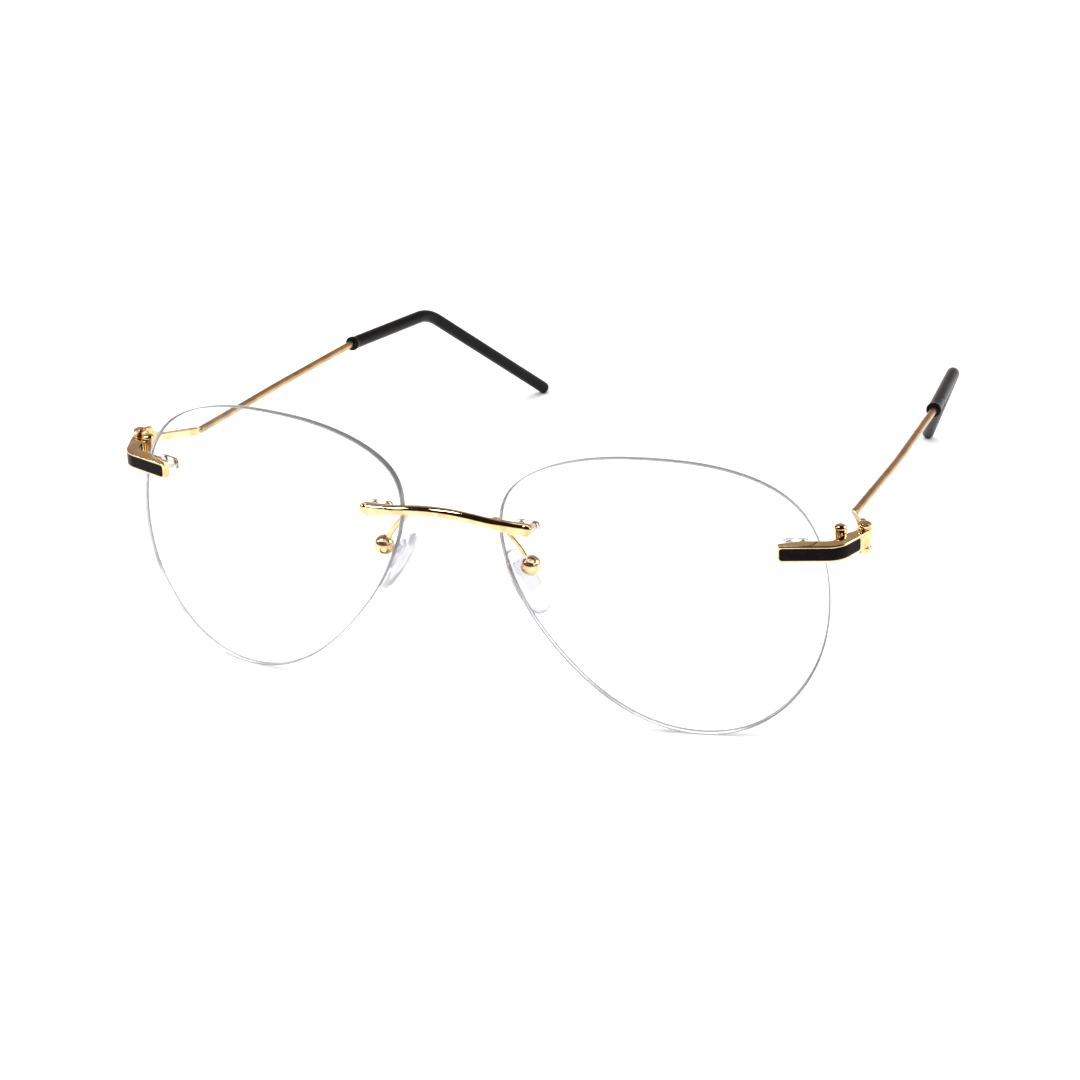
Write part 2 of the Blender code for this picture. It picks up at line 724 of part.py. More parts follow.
def make_pad_screw(shop):
    frame = pad_matrix()
    shank = rod_mesh("pad_screw", (0.0, -1.45, 0.0), (0.0, 1.3, 0.0), PAD_SCREW_RADIUS, segments=16)
    screw = shop.piece("pad_screw_left", moved(shank, frame), "gold")
    head = rod_mesh("head", (0.0, 1.1, 0.0), (0.0, 1.4, 0.0), 0.7, segments=20)
    slot = box_mesh("slot", (-1.0, 1.28, -0.09), (1.0, 2.0, 0.09))
    cut_with(screw, shop.cutter("pad_screw_head", moved(head, frame)), "UNION")
    cut_with(screw, shop.cutter("pad_screw_slot", moved(slot, frame)))
    return screw


def pad_back():
    return PAD_CENTRE[2] - PAD_SIZE[2] / 2.0


def make_pad_insert(shop):
    """The plate in the pad's back, with a lug whose eye sits on the pad screw."""
    frame = pad_matrix()
    length, width, depth = PAD_PLATE
    low = pad_back() + GAP
    middle = PAD_CENTRE[0] / 2.0
    plate = box_mesh("pad_insert", (middle - length / 2.0, -width / 2.0, low),
                     (middle + length / 2.0, width / 2.0, low + depth))
    insert = shop.piece("pad_insert_left", moved(plate, frame), "pad")
    eye = rod_mesh("eye", (0.0, -0.5, 0.0), (0.0, 0.5, 0.0), 0.75, segments=20)
    stem = box_mesh("stem", (-0.6, -0.49, 0.0), (0.6, 0.49, low + depth / 2.0))
    bore = rod_mesh("bore", (0.0, -2.0, 0.0), (0.0, 2.0, 0.0), PAD_SCREW_RADIUS + GAP, segments=16)
    cut_with(insert, shop.cutter("pad_stem", moved(stem, frame)), "UNION")
    cut_with(insert, shop.cutter("pad_eye", moved(eye, frame)), "UNION")
    cut_with(insert, shop.cutter("pad_eye_bore", moved(bore, frame)))
    return insert


def make_nose_pad(shop):
    """The soft clear pad, with a recess in its back for the insert's plate."""
    frame = pad_matrix()
    half = Vector(PAD_SIZE) / 2.0
    low = Vector(PAD_CENTRE) - half
    high = Vector(PAD_CENTRE) + half
    pad = shop.piece("nose_pad_left", moved(box_mesh("nose_pad", low, high), frame), "pad")
    round_shading(pad)
    crease = pad.data.attributes.new("crease_edge", "FLOAT", "EDGE")
    for value in crease.data:
        value.value = 0.35
    smooth = pad.modifiers.new("soft_form", "SUBSURF")
    smooth.levels = 2
    smooth.render_levels = 2
    length, width, depth = (size + 2.0 * GAP for size in PAD_PLATE)
    middle = PAD_CENTRE[0] / 2.0
    recess = box_mesh("recess", (middle - length / 2.0, -width / 2.0, 0.0),
                      (middle + length / 2.0, width / 2.0, pad_back() + depth))
    cut_with(pad, shop.cutter("pad_recess", moved(recess, frame)))
    return pad


def mirrored_piece(shop, left):
    """The right-hand twin of a finished left-hand piece."""
    evaluated = left.evaluated_get(bpy.context.evaluated_depsgraph_get())
    mesh = bpy.data.meshes.new_from_object(evaluated)
    mesh.transform(mirror_matrix() @ left.matrix_world)
    mesh.flip_normals()
    name = left.name.replace("_left", "_right")
    mesh.name = name
    right = bpy.data.objects.new(name, mesh)
    shop.parts.objects.link(right)
    return right


def attach(child, parent):
    """Parent a piece without moving it."""
    child.parent = parent
    child.matrix_parent_inverse = parent.matrix_world.inverted()


def clear_scene():
    for item in list(bpy.data.objects):
        bpy.data.objects.remove(item)


def main():
    clear_scene()
    shop = Workshop()
    fixed = [
        make_lens(shop), make_end_piece(shop), make_inlay(shop), make_lug(shop),
        make_sleeve(shop, "bridge_sleeve_left", BRIDGE_MOUNT_U, bridge_post_z()),
        make_sleeve(shop, "end_piece_sleeve_left", END_MOUNT_U, END_Z),
        make_pad_arm(shop), make_pad_box(shop), make_pad_screw(shop), *make_hinge_hardware(shop),
    ]
    swinging = [make_temple_hinge(shop), make_temple_wire(shop), make_temple_tip(shop)]
    rocking = [make_pad_insert(shop), make_nose_pad(shop)]
    bridge = make_bridge(shop)

    root = shop.empty("glasses_root", (0.0, 0.0, 0.0))
    groups = [("front", fixed, (0.0, 0.0, 0.0)), ("temple", swinging, (*HINGE_XY, END_Z)),
              ("nose_pad", rocking, PAD_BOX_AT)]
    bpy.context.view_layer.update()
    attach(bridge, root)
    for name, pieces, (x, y, z) in groups:
        for side, sign in (("left", 1.0), ("right", -1.0)):
            pivot = shop.empty(f"{name}_{side}_pivot", (sign * x, y, z), root)
            bpy.context.view_layer.update()
            for left in pieces:
                attach(left if side == "left" else mirrored_piece(shop, left), pivot)
    for tool in shop.cutters.objects:
        attach(tool, root)
    root.location = vec((0.0, ROOT_Y, 0.0))
    bpy.context.view_layer.update()


main()
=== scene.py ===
"""Rimless eyeglasses: finely made visible pieces, their finishes and a small studio.

The packed model is the fixed frame. Every visible piece is built here around it, in the same
axes (+X is the wearer's left, +Y runs back along the temples, +Z is up), and rides on one of
its bodies. Lengths are in millimetres until a mesh is made. Left pieces are modelled, and
each right piece is the mirror image of its twin.
"""
import json
import math

import bmesh
import bpy
import numpy as np
from bpy.props import FloatProperty, FloatVectorProperty, PointerProperty
from mathutils import Matrix, Vector


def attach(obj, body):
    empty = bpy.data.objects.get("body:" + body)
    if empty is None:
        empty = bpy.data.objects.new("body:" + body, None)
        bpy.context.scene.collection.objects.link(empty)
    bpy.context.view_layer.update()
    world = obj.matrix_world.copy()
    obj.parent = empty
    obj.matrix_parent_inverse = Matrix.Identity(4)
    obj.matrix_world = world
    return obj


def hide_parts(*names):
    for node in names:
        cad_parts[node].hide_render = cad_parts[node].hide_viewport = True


bl_info = {
    "name": "Rimless Eyeglasses",
    "version": (1, 0, 0),
    "blender": (4, 5, 0),
    "location": "View3D > Sidebar > Eyewear",
    "description": "Builds rimless eyeglasses with wire temples around a packed hinge frame",
    "category": "Add Mesh",
}

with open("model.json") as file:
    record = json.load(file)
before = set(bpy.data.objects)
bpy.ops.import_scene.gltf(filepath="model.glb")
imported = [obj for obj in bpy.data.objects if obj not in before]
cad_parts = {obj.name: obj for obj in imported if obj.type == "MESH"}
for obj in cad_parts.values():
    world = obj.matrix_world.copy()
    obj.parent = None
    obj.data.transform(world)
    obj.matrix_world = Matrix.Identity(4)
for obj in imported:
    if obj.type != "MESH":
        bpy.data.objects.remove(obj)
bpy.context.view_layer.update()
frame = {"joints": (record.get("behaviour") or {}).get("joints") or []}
JOINTS = {joint["name"]: joint for joint in frame["joints"]}
MM = 0.001
SIDES = ("left", "right")

# The hinge and the pad pivot come from the frame. The lenses' front plane lies this far ahead
# of the hinge axis.
HINGE = Vector(JOINTS["temple_left_fold"]["pos_m"]) / MM
PAD_PIVOT = Vector(JOINTS["nose_pad_left_rock"]["pos_m"]) / MM
PAD_ACROSS = Vector(JOINTS["nose_pad_left_rock"]["axis"])
HINGE_SETBACK = 13.8
FRONT_Y = HINGE.y - HINGE_SETBACK

# Lens: a spherical shell cut to an aviator outline, given by points on its closed spline.
LENS_OUTLINE = (
    (27.5, 0.0), (22.1, 17.3), (9.5, 23.5), (-2.1, 24.5), (-16.0, 22.8), (-26.2, 16.4),
    (-24.7, 0.0), (-17.5, -10.9), (-10.4, -18.0), (0.0, -23.6), (14.3, -23.0), (25.0, -11.7),
)
LENS_OFFSET = 36.5
LENS_WRAP = math.radians(9.4)
LENS_RINGS = 12
RIM_POINTS = 220
RIM_ARC_STEPS = 4

# Twin-post mounts: places across the lens, and the fits of post, sleeve and hole.
BRIDGE_MOUNT_U = -23.15
END_MOUNT_U = 21.9
POST_SPACING = 2.2
POST_RADIUS = 0.37
POST_SHOULDER = 0.75
POST_STICK_OUT = 0.45
SLEEVE_BORE = 0.42
SLEEVE_RADIUS = 0.70
HOLE_RADIUS = 0.75
SLEEVE_PLATE = (4.4, 0.6, 2.0)
PLATE_GAP = 0.12
GAP = 0.05
BRIDGE_POST_REACH = 2.0
END_POST_REACH = 1.8

# Bridge: a bar arched forwards and upwards, fuller where it crosses the lenses.
BRIDGE_HALF_SPAN = 15.5
BRIDGE_END_Y = -3.1
BRIDGE_ARCH = 2.1
BRIDGE_ARCH_SPAN = 14.0
BRIDGE_TOP_Z = 38.1
BRIDGE_FALL = (1.7, 0.36)
BRIDGE_NOSE_LENGTH = 1.2
BRIDGE_POST_X = 13.2
BRIDGE_POST_DROP = 0.8

# End piece: a flat bar along the lens that turns back to the hinge.
END_HEIGHT = 2.8
END_DEPTH = 2.4
END_PATH = ((55.3, 3.25), (64.25, 6.4), (66.5, 12.8))
END_CORNER_RADIUS = 3.4
END_ROUNDING = 0.3
END_TAPER = 0.9
END_TAPER_LENGTH = 4.0
END_RELIEF = 0.4
END_RELIEF_LENGTH = 2.0
INLAY_HEIGHT = 2.1
INLAY_DEPTH = 0.3
INLAY_SPAN = (0.25, 14.2)
LUG_XY = (63.45, 11.1)
LUG_RADIUS = 1.05
LUG_TOP = 38.0

# Hinge barrel: the end piece holds the middle knuckle, the temple the outer two.
KNUCKLE_RADIUS = 1.2
KNUCKLE_STEP = 0.03
LOWER_KNUCKLE_HEIGHT = 0.95
UPPER_KNUCKLE_HEIGHT = 0.55
SCREW_HEAD_HEIGHT = 0.25
HINGE_BORE = 0.5
SCREW_RADIUS = 0.45
SCREW_HEAD_RADIUS = 0.95
SCREW_SLOT_WIDTH = 0.24
SCREW_SLOT_DEPTH = 0.15
WASHER_RADIUS = 1.1
WASHER_THICKNESS = 0.15
KNUCKLE_ROUNDING = 0.14
FORK_REACH = KNUCKLE_RADIUS + 0.25
NECK_TURN = math.radians(24.0)
NECK_THICKNESS = 0.9
NECK_SETBACK = 0.35
NECK_BELOW_WIRE = 0.7
NECK_ABOVE_WIRE = 0.85
NECK_UNDERSIDE = ((2.9, 33.5), (4.4, 34.15))
NECK_TOPSIDE = ((5.0, 35.5), (3.6, 35.95), (2.9, 36.6))

# Temple: the wire's path and the ear tip's path.
WIRE_START = (61.3, 26.2, 33.4)
WIRE_MIDDLE = (60.9, 55.0, 31.7)
TIP_START = (59.5, 85.0, 30.1)
TIP_BEND = (56.0, 114.3, 27.2)
TIP_END = (43.3, 145.4, 1.236)
TIP_BEND_RADIUS = 11.0
TIP_LIP = ((0.0, 0.92), (0.08, 1.02), (0.25, 1.1), (0.6, 1.13), (1.0, 1.08), (1.3, 1.0))
WIRE_INSIDE_TIP = 0.7

# Nose pad: its long axis, and its arm's route from the bridge round the lens edge.
PAD_LENGTH_AXIS = (0.565, -0.04, -0.824)
PAD_CENTRE = (2.2, 0.0, 3.7)
PAD_PLATE = (5.5, 2.8, 0.5)
PAD_SLOT = 1.2
PAD_SCREW_RADIUS = 0.4
PAD_SCREW_BORE = 0.45
PAD_SCREW_LENGTH = (-1.45, 1.4)
PAD_SCREW_SEAT = 1.1
PAD_RECESS_BACK = 1.25
PAD_ARM_X = 7.6
PAD_ARM_BENDS = ((7.8, -0.9, 36.1), (8.2, 1.4, 35.1), (9.7, 1.8, 33.1), (11.8, 2.0, 30.7))


# ---------------------------------------------------------------- sizes and finishes


class LensProperties(bpy.types.PropertyGroup):
    """Sizes and tint of the lenses."""

    base_curve: FloatProperty(
        name="Base Curve Radius", description="Radius of the lens's front sphere",
        default=130.0 * MM, min=60.0 * MM, unit="LENGTH")
    thickness: FloatProperty(
        name="Thickness", description="Lens thickness, the same all over",
        default=1.8 * MM, min=1.0 * MM, max=3.0 * MM, unit="LENGTH")
    rim_polish: FloatProperty(
        name="Rim Rounding", description="Radius of the polished edge at front and back",
        default=0.22 * MM, min=0.02 * MM, max=0.8 * MM, unit="LENGTH")
    tint: FloatVectorProperty(
        name="Tint", description="Colour of the lens plastic", subtype="COLOR", size=4,
        default=(0.985, 0.99, 0.992, 1.0), min=0.0, max=1.0)


class MetalProperties(bpy.types.PropertyGroup):
    """Sizes and colours of the gold metal pieces."""

    bridge_radius: FloatProperty(
        name="Bridge Radius", description="Half the height of the bridge at its middle",
        default=0.85 * MM, min=0.4 * MM, max=1.5 * MM, unit="LENGTH")
    bridge_end_radius: FloatProperty(
        name="Bridge End Radius", description="Half the height of the bridge over the lenses",
        default=0.98 * MM, min=0.5 * MM, max=1.6 * MM, unit="LENGTH")
    pad_arm_radius: FloatProperty(
        name="Pad Arm Radius", description="Half the thickness of the pad arm wire",
        default=0.5 * MM, min=0.3 * MM, max=0.8 * MM, unit="LENGTH")
    pad_box_radius: FloatProperty(
        name="Pad Box Radius", description="Radius of the ball that holds the pad screw",
        default=1.75 * MM, min=1.0 * MM, max=2.4 * MM, unit="LENGTH")
    gold: FloatVectorProperty(
        name="Gold", description="Colour of the polished plating", subtype="COLOR", size=4,
        default=(0.90, 0.66, 0.36, 1.0), min=0.0, max=1.0)
    deep_gold: FloatVectorProperty(
        name="Deep Gold", description="Colour where the plating is thinner", subtype="COLOR",
        size=4, default=(0.78, 0.50, 0.24, 1.0), min=0.0, max=1.0)
    enamel: FloatVectorProperty(
        name="Enamel", description="Colour of the inlaid enamel", subtype="COLOR", size=4,
        default=(0.003, 0.0025, 0.0025, 1.0), min=0.0, max=1.0)


class TempleProperties(bpy.types.PropertyGroup):
    """Sizes and colours of the temples."""

    wire_radius: FloatProperty(
        name="Wire Radius", description="Half the thickness of the temple wire",
        default=0.67 * MM, min=0.4 * MM, max=1.0 * MM, unit="LENGTH")
    tip_radius: FloatProperty(
        name="Tip Radius", description="Half the thickness of the silicone ear tip",
        default=1.25 * MM, min=0.8 * MM, max=2.2 * MM, unit="LENGTH")
    wire_colour: FloatVectorProperty(
        name="Wire Colour", description="Colour of the drawn wire's plating", subtype="COLOR",
        size=4, default=(0.62, 0.38, 0.18, 1.0), min=0.0, max=1.0)
    tip_colour: FloatVectorProperty(
        name="Tip Colour", description="Colour of the ear tip's silicone", subtype="COLOR",
        size=4, default=(0.0025, 0.0025, 0.0027, 1.0), min=0.0, max=1.0)


class PadProperties(bpy.types.PropertyGroup):
    """Sizes and colour of the nose pads."""

    length: FloatProperty(
        name="Length", description="Length of the nose pad", default=12.0 * MM,
        min=8.0 * MM, max=16.0 * MM, unit="LENGTH")
    width: FloatProperty(
        name="Width", description="Width of the nose pad", default=6.6 * MM,
        min=4.0 * MM, max=9.0 * MM, unit="LENGTH")
    depth: FloatProperty(
        name="Depth", description="Thickness of the nose pad", default=2.3 * MM,
        min=1.2 * MM, max=4.0 * MM, unit="LENGTH")
    silicone: FloatVectorProperty(
        name="Silicone", description="Colour of the clear silicone", subtype="COLOR", size=4,
        default=(0.80, 0.80, 0.84, 1.0), min=0.0, max=1.0)


class StudioProperties(bpy.types.PropertyGroup):
    """Floor, light and camera."""

    floor_colour: FloatVectorProperty(
        name="Floor", description="Colour of the floor", subtype="COLOR", size=4,
        default=(0.90, 0.90, 0.90, 1.0), min=0.0, max=1.0)
    key_power: FloatProperty(
        name="Key Power", description="Power of the broad overhead light", default=44.0,
        min=0.0, unit="POWER")
    panel_power: FloatProperty(
        name="Panel Power", description="Power of the panel that the metal mirrors",
        default=2.2, min=0.0, unit="POWER")
    azimuth: FloatProperty(
        name="Azimuth", description="Camera's turn round the glasses from straight ahead",
        default=math.radians(22.67), subtype="ANGLE")
    elevation: FloatProperty(
        name="Elevation", description="Camera's height above the horizon",
        default=math.radians(23.57), subtype="ANGLE")
    distance: FloatProperty(
        name="Distance", description="Camera's distance from the bridge",
        default=467.5 * MM, min=0.1, unit="LENGTH")
    focal_length: FloatProperty(
        name="Focal Length", description="Camera's focal length in millimetres on a 36 mm sensor",
        default=94.83, min=10.0)


# ---------------------------------------------------------------- shape tools


def smooth_closed(points, count):
    """Sample a closed cubic spline through the points, by chord length."""
    pts = np.array(points)
    step = np.linalg.norm(np.roll(pts, -1, axis=0) - pts, axis=1)
    total = len(pts)
    matrix = np.zeros((total, total))
    slopes = (np.roll(pts, -1, axis=0) - pts) / step[:, None]
    for i in range(total):
        matrix[i, i - 1] += step[i - 1]
        matrix[i, i] += 2.0 * (step[i - 1] + step[i])
        matrix[i, (i + 1) % total] += step[i]
    bend = np.linalg.solve(matrix, 6.0 * (slopes - np.roll(slopes, 1, axis=0)))
    starts = np.concatenate([[0.0], np.cumsum(step)])
    sampled = []
    for distance in np.linspace(0.0, starts[-1], count, endpoint=False):
        i = int(np.searchsorted(starts, distance, side="right")) - 1
        j = (i + 1) % total
        a = (starts[i + 1] - distance) / step[i]
        b = 1.0 - a
        curve = ((a ** 3 - a) * bend[i] + (b ** 3 - b) * bend[j]) * step[i] ** 2 / 6.0
        sampled.append(a * pts[i] + b * pts[j] + curve)
    return sampled


def rounded_path(points, radius, steps=8):
    """A polyline whose inner corners are replaced by arcs of one radius."""
    pts = [Vector(p) for p in points]
    path = [pts[0]]
    for before, corner, after in zip(pts, pts[1:], pts[2:]):
        back = (before - corner).normalized()
        ahead = (after - corner).normalized()
        turn = math.pi - back.angle(ahead)
        reach = 0.48 * min((before - corner).length, (after - corner).length)
        tangent = min(radius * math.tan(turn / 2.0), reach)
        arc = tangent / math.tan(turn / 2.0)
        centre = corner + (back + ahead).normalized() * arc / math.cos(turn / 2.0)
        start = corner + back * tangent - centre
        side = (corner + ahead * tangent - centre) - start * math.cos(turn)
        side *= arc / side.length
        for k in range(steps + 1):
            angle = turn * k / steps
            path.append(centre + start * math.cos(angle) + side * math.sin(angle))
    path.append(pts[-1])
    return path


def rounded_outline(points, radius, steps=4):
    """A closed 2-D outline with every corner rounded."""
    pts = [Vector((x, y, 0.0)) for x, y in points]
    middle = (pts[-1] + pts[0]) / 2.0
    path = rounded_path([middle, *pts, middle], radius, steps)
    return [(p.x, p.y) for p in path[:-1]]


def path_length(path):
    return sum((b - a).length for a, b in zip(path, path[1:]))


def point_along(path, distance):
    """The point at a distance along a polyline."""
    for a, b in zip(path, path[1:]):
        length = (b - a).length
        if distance <= length or b is path[-1]:
            return a + (b - a).normalized() * distance
        distance -= length
    return path[-1].copy()


def even_path(path, spacing):
    """Points at even spacing along a polyline, both ends kept."""
    length = path_length(path)
    count = max(2, round(length / spacing))
    return [point_along(path, length * k / count) for k in range(count + 1)]


def relaxed(path, passes=2):
    """The path with its kinks averaged out, both ends kept."""
    for _ in range(passes):
        inner = [(a + 2.0 * b + c) / 4.0 for a, b, c in zip(path, path[1:], path[2:])]
        path = [path[0], *inner, path[-1]]
    return path


def domed(path, radii, steps=5):
    """The path and radii with both ends closed by domes inside the path's own length."""
    path, radii = list(path), list(radii)
    for end in (0, -1):
        tip, radius = path[end], radii[end]
        after = path[1] if end == 0 else path[-2]
        ahead = (after - tip).normalized()
        kept = [i for i, p in enumerate(path) if (p - tip).length > radius * 1.05]
        path = [path[i] for i in kept]
        radii = [radii[i] for i in kept]
        cap = []
        for k in range(steps + 1):
            angle = math.radians(8.0 + 82.0 * k / steps)
            cap.append((tip + ahead * radius * (1.0 - math.sin(angle)), radius * math.cos(angle)))
        cap[-1] = (tip, radius * 0.05)
        if end == 0:
            cap = cap[::-1]
            path = [p for p, _ in cap] + path
            radii = [r for _, r in cap] + radii
        else:
            path += [p for p, _ in cap]
            radii += [r for _, r in cap]
    return path, radii


def ring_section(radius, segments=28, squareness=2.0, depth=1.0):
    """Offsets round a superellipse: 2 is a circle, and more is squarer."""
    power = 2.0 / squareness
    points = []
    for k in range(segments):
        c, s = math.cos(math.tau * k / segments), math.sin(math.tau * k / segments)
        points.append((math.copysign(abs(c) ** power, c) * radius * depth,
                       math.copysign(abs(s) ** power, s) * radius))
    return points


def mesh_from(name, build):
    """A new mesh in metres, filled by a function that makes a bmesh in millimetres."""
    mesh = bpy.data.meshes.new(name)
    bm = bmesh.new()
    build(bm)
    bmesh.ops.remove_doubles(bm, verts=bm.verts, dist=1e-4)
    bmesh.ops.recalc_face_normals(bm, faces=bm.faces)
    bm.transform(Matrix.Scale(MM, 4))
    bm.to_mesh(mesh)
    bm.free()
    return mesh


def skin_rings(bm, rings, closed=False):
    """Quads between rings of vertices, with flat ends unless the last ring meets the first."""
    pairs = list(zip(rings, rings[1:])) + ([(rings[-1], rings[0])] if closed else [])
    for near, far in pairs:
        for i in range(len(near)):
            j = (i + 1) % len(near)
            bm.faces.new((near[i], near[j], far[j], far[i]))
    if not closed:
        bm.faces.new(rings[0][::-1])
        bm.faces.new(rings[-1])


def swept_mesh(name, path, sections, up=(0.0, 0.0, 1.0)):
    """A closed skin along a path, with one section of (side, height) offsets at each point."""
    upward = Vector(up)

    def build(bm):
        rings = []
        for k, point in enumerate(path):
            ahead = path[min(k + 1, len(path) - 1)] - path[max(k - 1, 0)]
            side = upward.cross(ahead).normalized()
            height = ahead.cross(side).normalized()
            rings.append([bm.verts.new(point + side * a + height * b) for a, b in sections[k]])
        skin_rings(bm, rings)

    return mesh_from(name, build)


def turned_mesh(name, outline, place, segments=40, bored=False):
    """A solid turned about the place's Z axis from (radius, height) points. A bored one's
    outline is closed, and stays clear of the axis."""

    def build(bm):
        rings = []
        for radius, height in outline:
            ring = []
            for k in range(segments):
                turn = math.tau * k / segments
                ring.append(bm.verts.new(place @ Vector(
                    (radius * math.cos(turn), radius * math.sin(turn), height))))
            rings.append(ring)
        skin_rings(bm, rings, closed=bored)

    return mesh_from(name, build)


def rod_mesh(name, low, high, radius, place, rounding=0.0, segments=32):
    """A turned rod between two heights on the place's Z axis, with rounded edges."""
    hub = min(0.02, radius / 4.0)
    if rounding <= 0.0:
        outline = [(radius, low), (radius, high)]
    else:
        corners = [(hub, low, 0.0), (radius, low, 0.0), (radius, high, 0.0), (hub, high, 0.0)]
        outline = [(p.x, p.y) for p in rounded_path(corners, rounding, 4)]
    return turned_mesh(name, outline, place, segments)


def knuckle_mesh(name, low, high, radius, bore, place, rounding=0.14):
    """A hinge knuckle or washer: a short tube with rounded edges."""
    outline = rounded_outline([(bore, low), (radius, low), (radius, high), (bore, high)],
                              rounding, 3)
    return turned_mesh(name, outline, place, 44, bored=True)


def block_mesh(name, low, high, place):
    """A box cut to size, for grooves and slots."""
    def build(bm):
        rings = [[bm.verts.new(place @ Vector((x, y, z)))
                  for x, y in ((low[0], low[1]), (high[0], low[1]),
                               (high[0], high[1]), (low[0], high[1]))]
                 for z in (low[2], high[2])]
        skin_rings(bm, rings)

    return mesh_from(name, build)


def plate_mesh(name, outline, low, high, place):
    """A flat outline in the place's XY plane, extruded between two heights."""
    def build(bm):
        rings = [[bm.verts.new(place @ Vector((x, y, z))) for x, y in outline]
                 for z in (low, high)]
        skin_rings(bm, rings)

    return mesh_from(name, build)


def sculpt(mesh, unions=(), cuts=(), bevel=0.0, bevel_angle=50.0):
    """Joins and cuts a mesh with others, softens its sharp edges and returns the result."""
    work = bpy.data.objects.new("work", mesh)
    bpy.context.scene.collection.objects.link(work)
    tools = []
    for operation, meshes in (("UNION", unions), ("DIFFERENCE", cuts)):
        for tool_mesh in meshes:
            tool = bpy.data.objects.new("tool", tool_mesh)
            bpy.context.scene.collection.objects.link(tool)
            tools.append(tool)
            modifier = work.modifiers.new("shape", "BOOLEAN")
            modifier.operation = operation
            modifier.solver = "EXACT"
            modifier.object = tool
    if bevel > 0.0:
        modifier = work.modifiers.new("soft_edges", "BEVEL")
        modifier.width = bevel * MM
        modifier.segments = 2
        modifier.limit_method = "ANGLE"
        modifier.angle_limit = math.radians(bevel_angle)
        modifier.use_clamp_overlap = False
    shaped = bpy.data.meshes.new_from_object(
        work.evaluated_get(bpy.context.evaluated_depsgraph_get()))
    shaped.name = mesh.name
    for item in [work, *tools]:
        bpy.data.objects.remove(item)
    return shaped


def mirrored(mesh):
    twin = mesh.copy()
    twin.transform(Matrix.Diagonal((-1.0, 1.0, 1.0, 1.0)))
    twin.flip_normals()
    return twin


def add_piece(name, mesh, finish, body, node, smooth_angle=38.0):
    """One visible piece: its mesh, finish, body and the CAD node it stands for."""
    piece = bpy.data.objects.new(name, mesh)
    bpy.context.scene.collection.objects.link(piece)
    mesh.materials.clear()
    mesh.materials.append(finish)
    if smooth_angle is not None:
        mesh.shade_smooth()
        mesh.set_sharp_from_angle(angle=math.radians(smooth_angle))
    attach(piece, body)
    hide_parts(node)
    return piece


def add_pair(name, mesh, finish, body, node, smooth_angle=38.0):
    """A left piece and its mirror image. A body or node ending in _ gets the side's name."""
    meshes = {"left": mesh, "right": mirrored(mesh)}
    made = []
    for side in SIDES:
        on = body + side if body.endswith("_") else body
        made.append(add_piece(f"{name}_{side}", meshes[side], finish, on,
                              f"{node}_{side}", smooth_angle))
    return made


# ---------------------------------------------------------------- shared places


def upright(x, y):
    """A place whose Z axis is vertical, at a point of the left side."""
    return Matrix.Translation((x, y, 0.0))


def lens_rim():
    return smooth_closed(LENS_OUTLINE, RIM_POINTS)


def lens_height():
    """Height of the lens's own origin, with its lowest rim point on the floor."""
    return -min(v for _, v in smooth_closed(LENS_OUTLINE, 60))


def lens_place():
    shift = Matrix.Translation((LENS_OFFSET, FRONT_Y, lens_height()))
    return shift @ Matrix.Rotation(LENS_WRAP, 4, "Z")


def base_curve():
    return bpy.context.scene.eyewear_lens.base_curve / MM


def lens_point(u, v, depth):
    """A point of the lens, by its place on the front sphere and its depth behind it."""
    radius = base_curve()
    front = Vector((u, radius - math.sqrt(radius * radius - u * u - v * v), v))
    back = (Vector((0.0, radius, 0.0)) - front) / radius
    return front + back * depth


def mount_place(u, z):
    """Place of a mount on the lens front: X towards the temple, Z back through the lens."""
    v = z - lens_height()
    back = lens_point(u, v, 1.0) - lens_point(u, v, 0.0)
    across = back.cross(Vector((0.0, 0.0, 1.0))).normalized()
    up = across.cross(back)
    local = Matrix((across, -up, back)).transposed().to_4x4()
    local.translation = lens_point(u, v, 0.0)
    return lens_place() @ local


def bridge_point(x):
    """The bridge's centre line: arched forwards by a parabola, and upwards by a flatter one."""
    arch = max(0.0, 1.0 - (x / BRIDGE_ARCH_SPAN) ** 2)
    t = (x / 10.0) ** 2
    fall, lift = BRIDGE_FALL
    return Vector((x, FRONT_Y + BRIDGE_END_Y - BRIDGE_ARCH * arch,
                   BRIDGE_TOP_Z - fall * t + lift * t * t))


def mounts():
    """The bridge's mount and the end piece's mount on the left lens."""
    return (mount_place(BRIDGE_MOUNT_U, bridge_point(BRIDGE_POST_X).z - BRIDGE_POST_DROP),
            mount_place(END_MOUNT_U, HINGE.z))


def post_offsets():
    return -POST_SPACING / 2.0, POST_SPACING / 2.0


def lens_thickness():
    return bpy.context.scene.eyewear_lens.thickness / MM


def post_meshes(place, start):
    """Both stepped posts of a mount, each with a shoulder, a shank and a domed head."""
    stop = lens_thickness() + PLATE_GAP + SLEEVE_PLATE[1] + POST_STICK_OUT
    made = []
    for x in post_offsets():
        axis = place @ Matrix.Translation((x, 0.0, 0.0))
        outline = [(0.02, start), (POST_SHOULDER, start), (POST_SHOULDER, -GAP - 0.08),
                   (POST_SHOULDER - 0.08, -GAP), (POST_RADIUS, -GAP),
                   (POST_RADIUS, stop - POST_STICK_OUT + GAP), (0.60, stop - POST_STICK_OUT + GAP),
                   (0.62, stop - 0.25), (0.5, stop - 0.1), (0.3, stop - 0.02), (0.02, stop)]
        made.append(turned_mesh("post", outline, axis, 28))
    return made


def knuckle_levels():
    """Bottom and top of the temple's lower knuckle and of its upper one."""
    play = END_HEIGHT / 2.0 + WASHER_THICKNESS + 2.0 * GAP + KNUCKLE_STEP
    low, high = HINGE.z - play, HINGE.z + play
    return (low - LOWER_KNUCKLE_HEIGHT, low), (high, high + UPPER_KNUCKLE_HEIGHT)


def at_front(points):
    """Points given from the lenses' front plane, moved into the frame."""
    return [Vector((x, y + FRONT_Y, z)) for x, y, z in points]


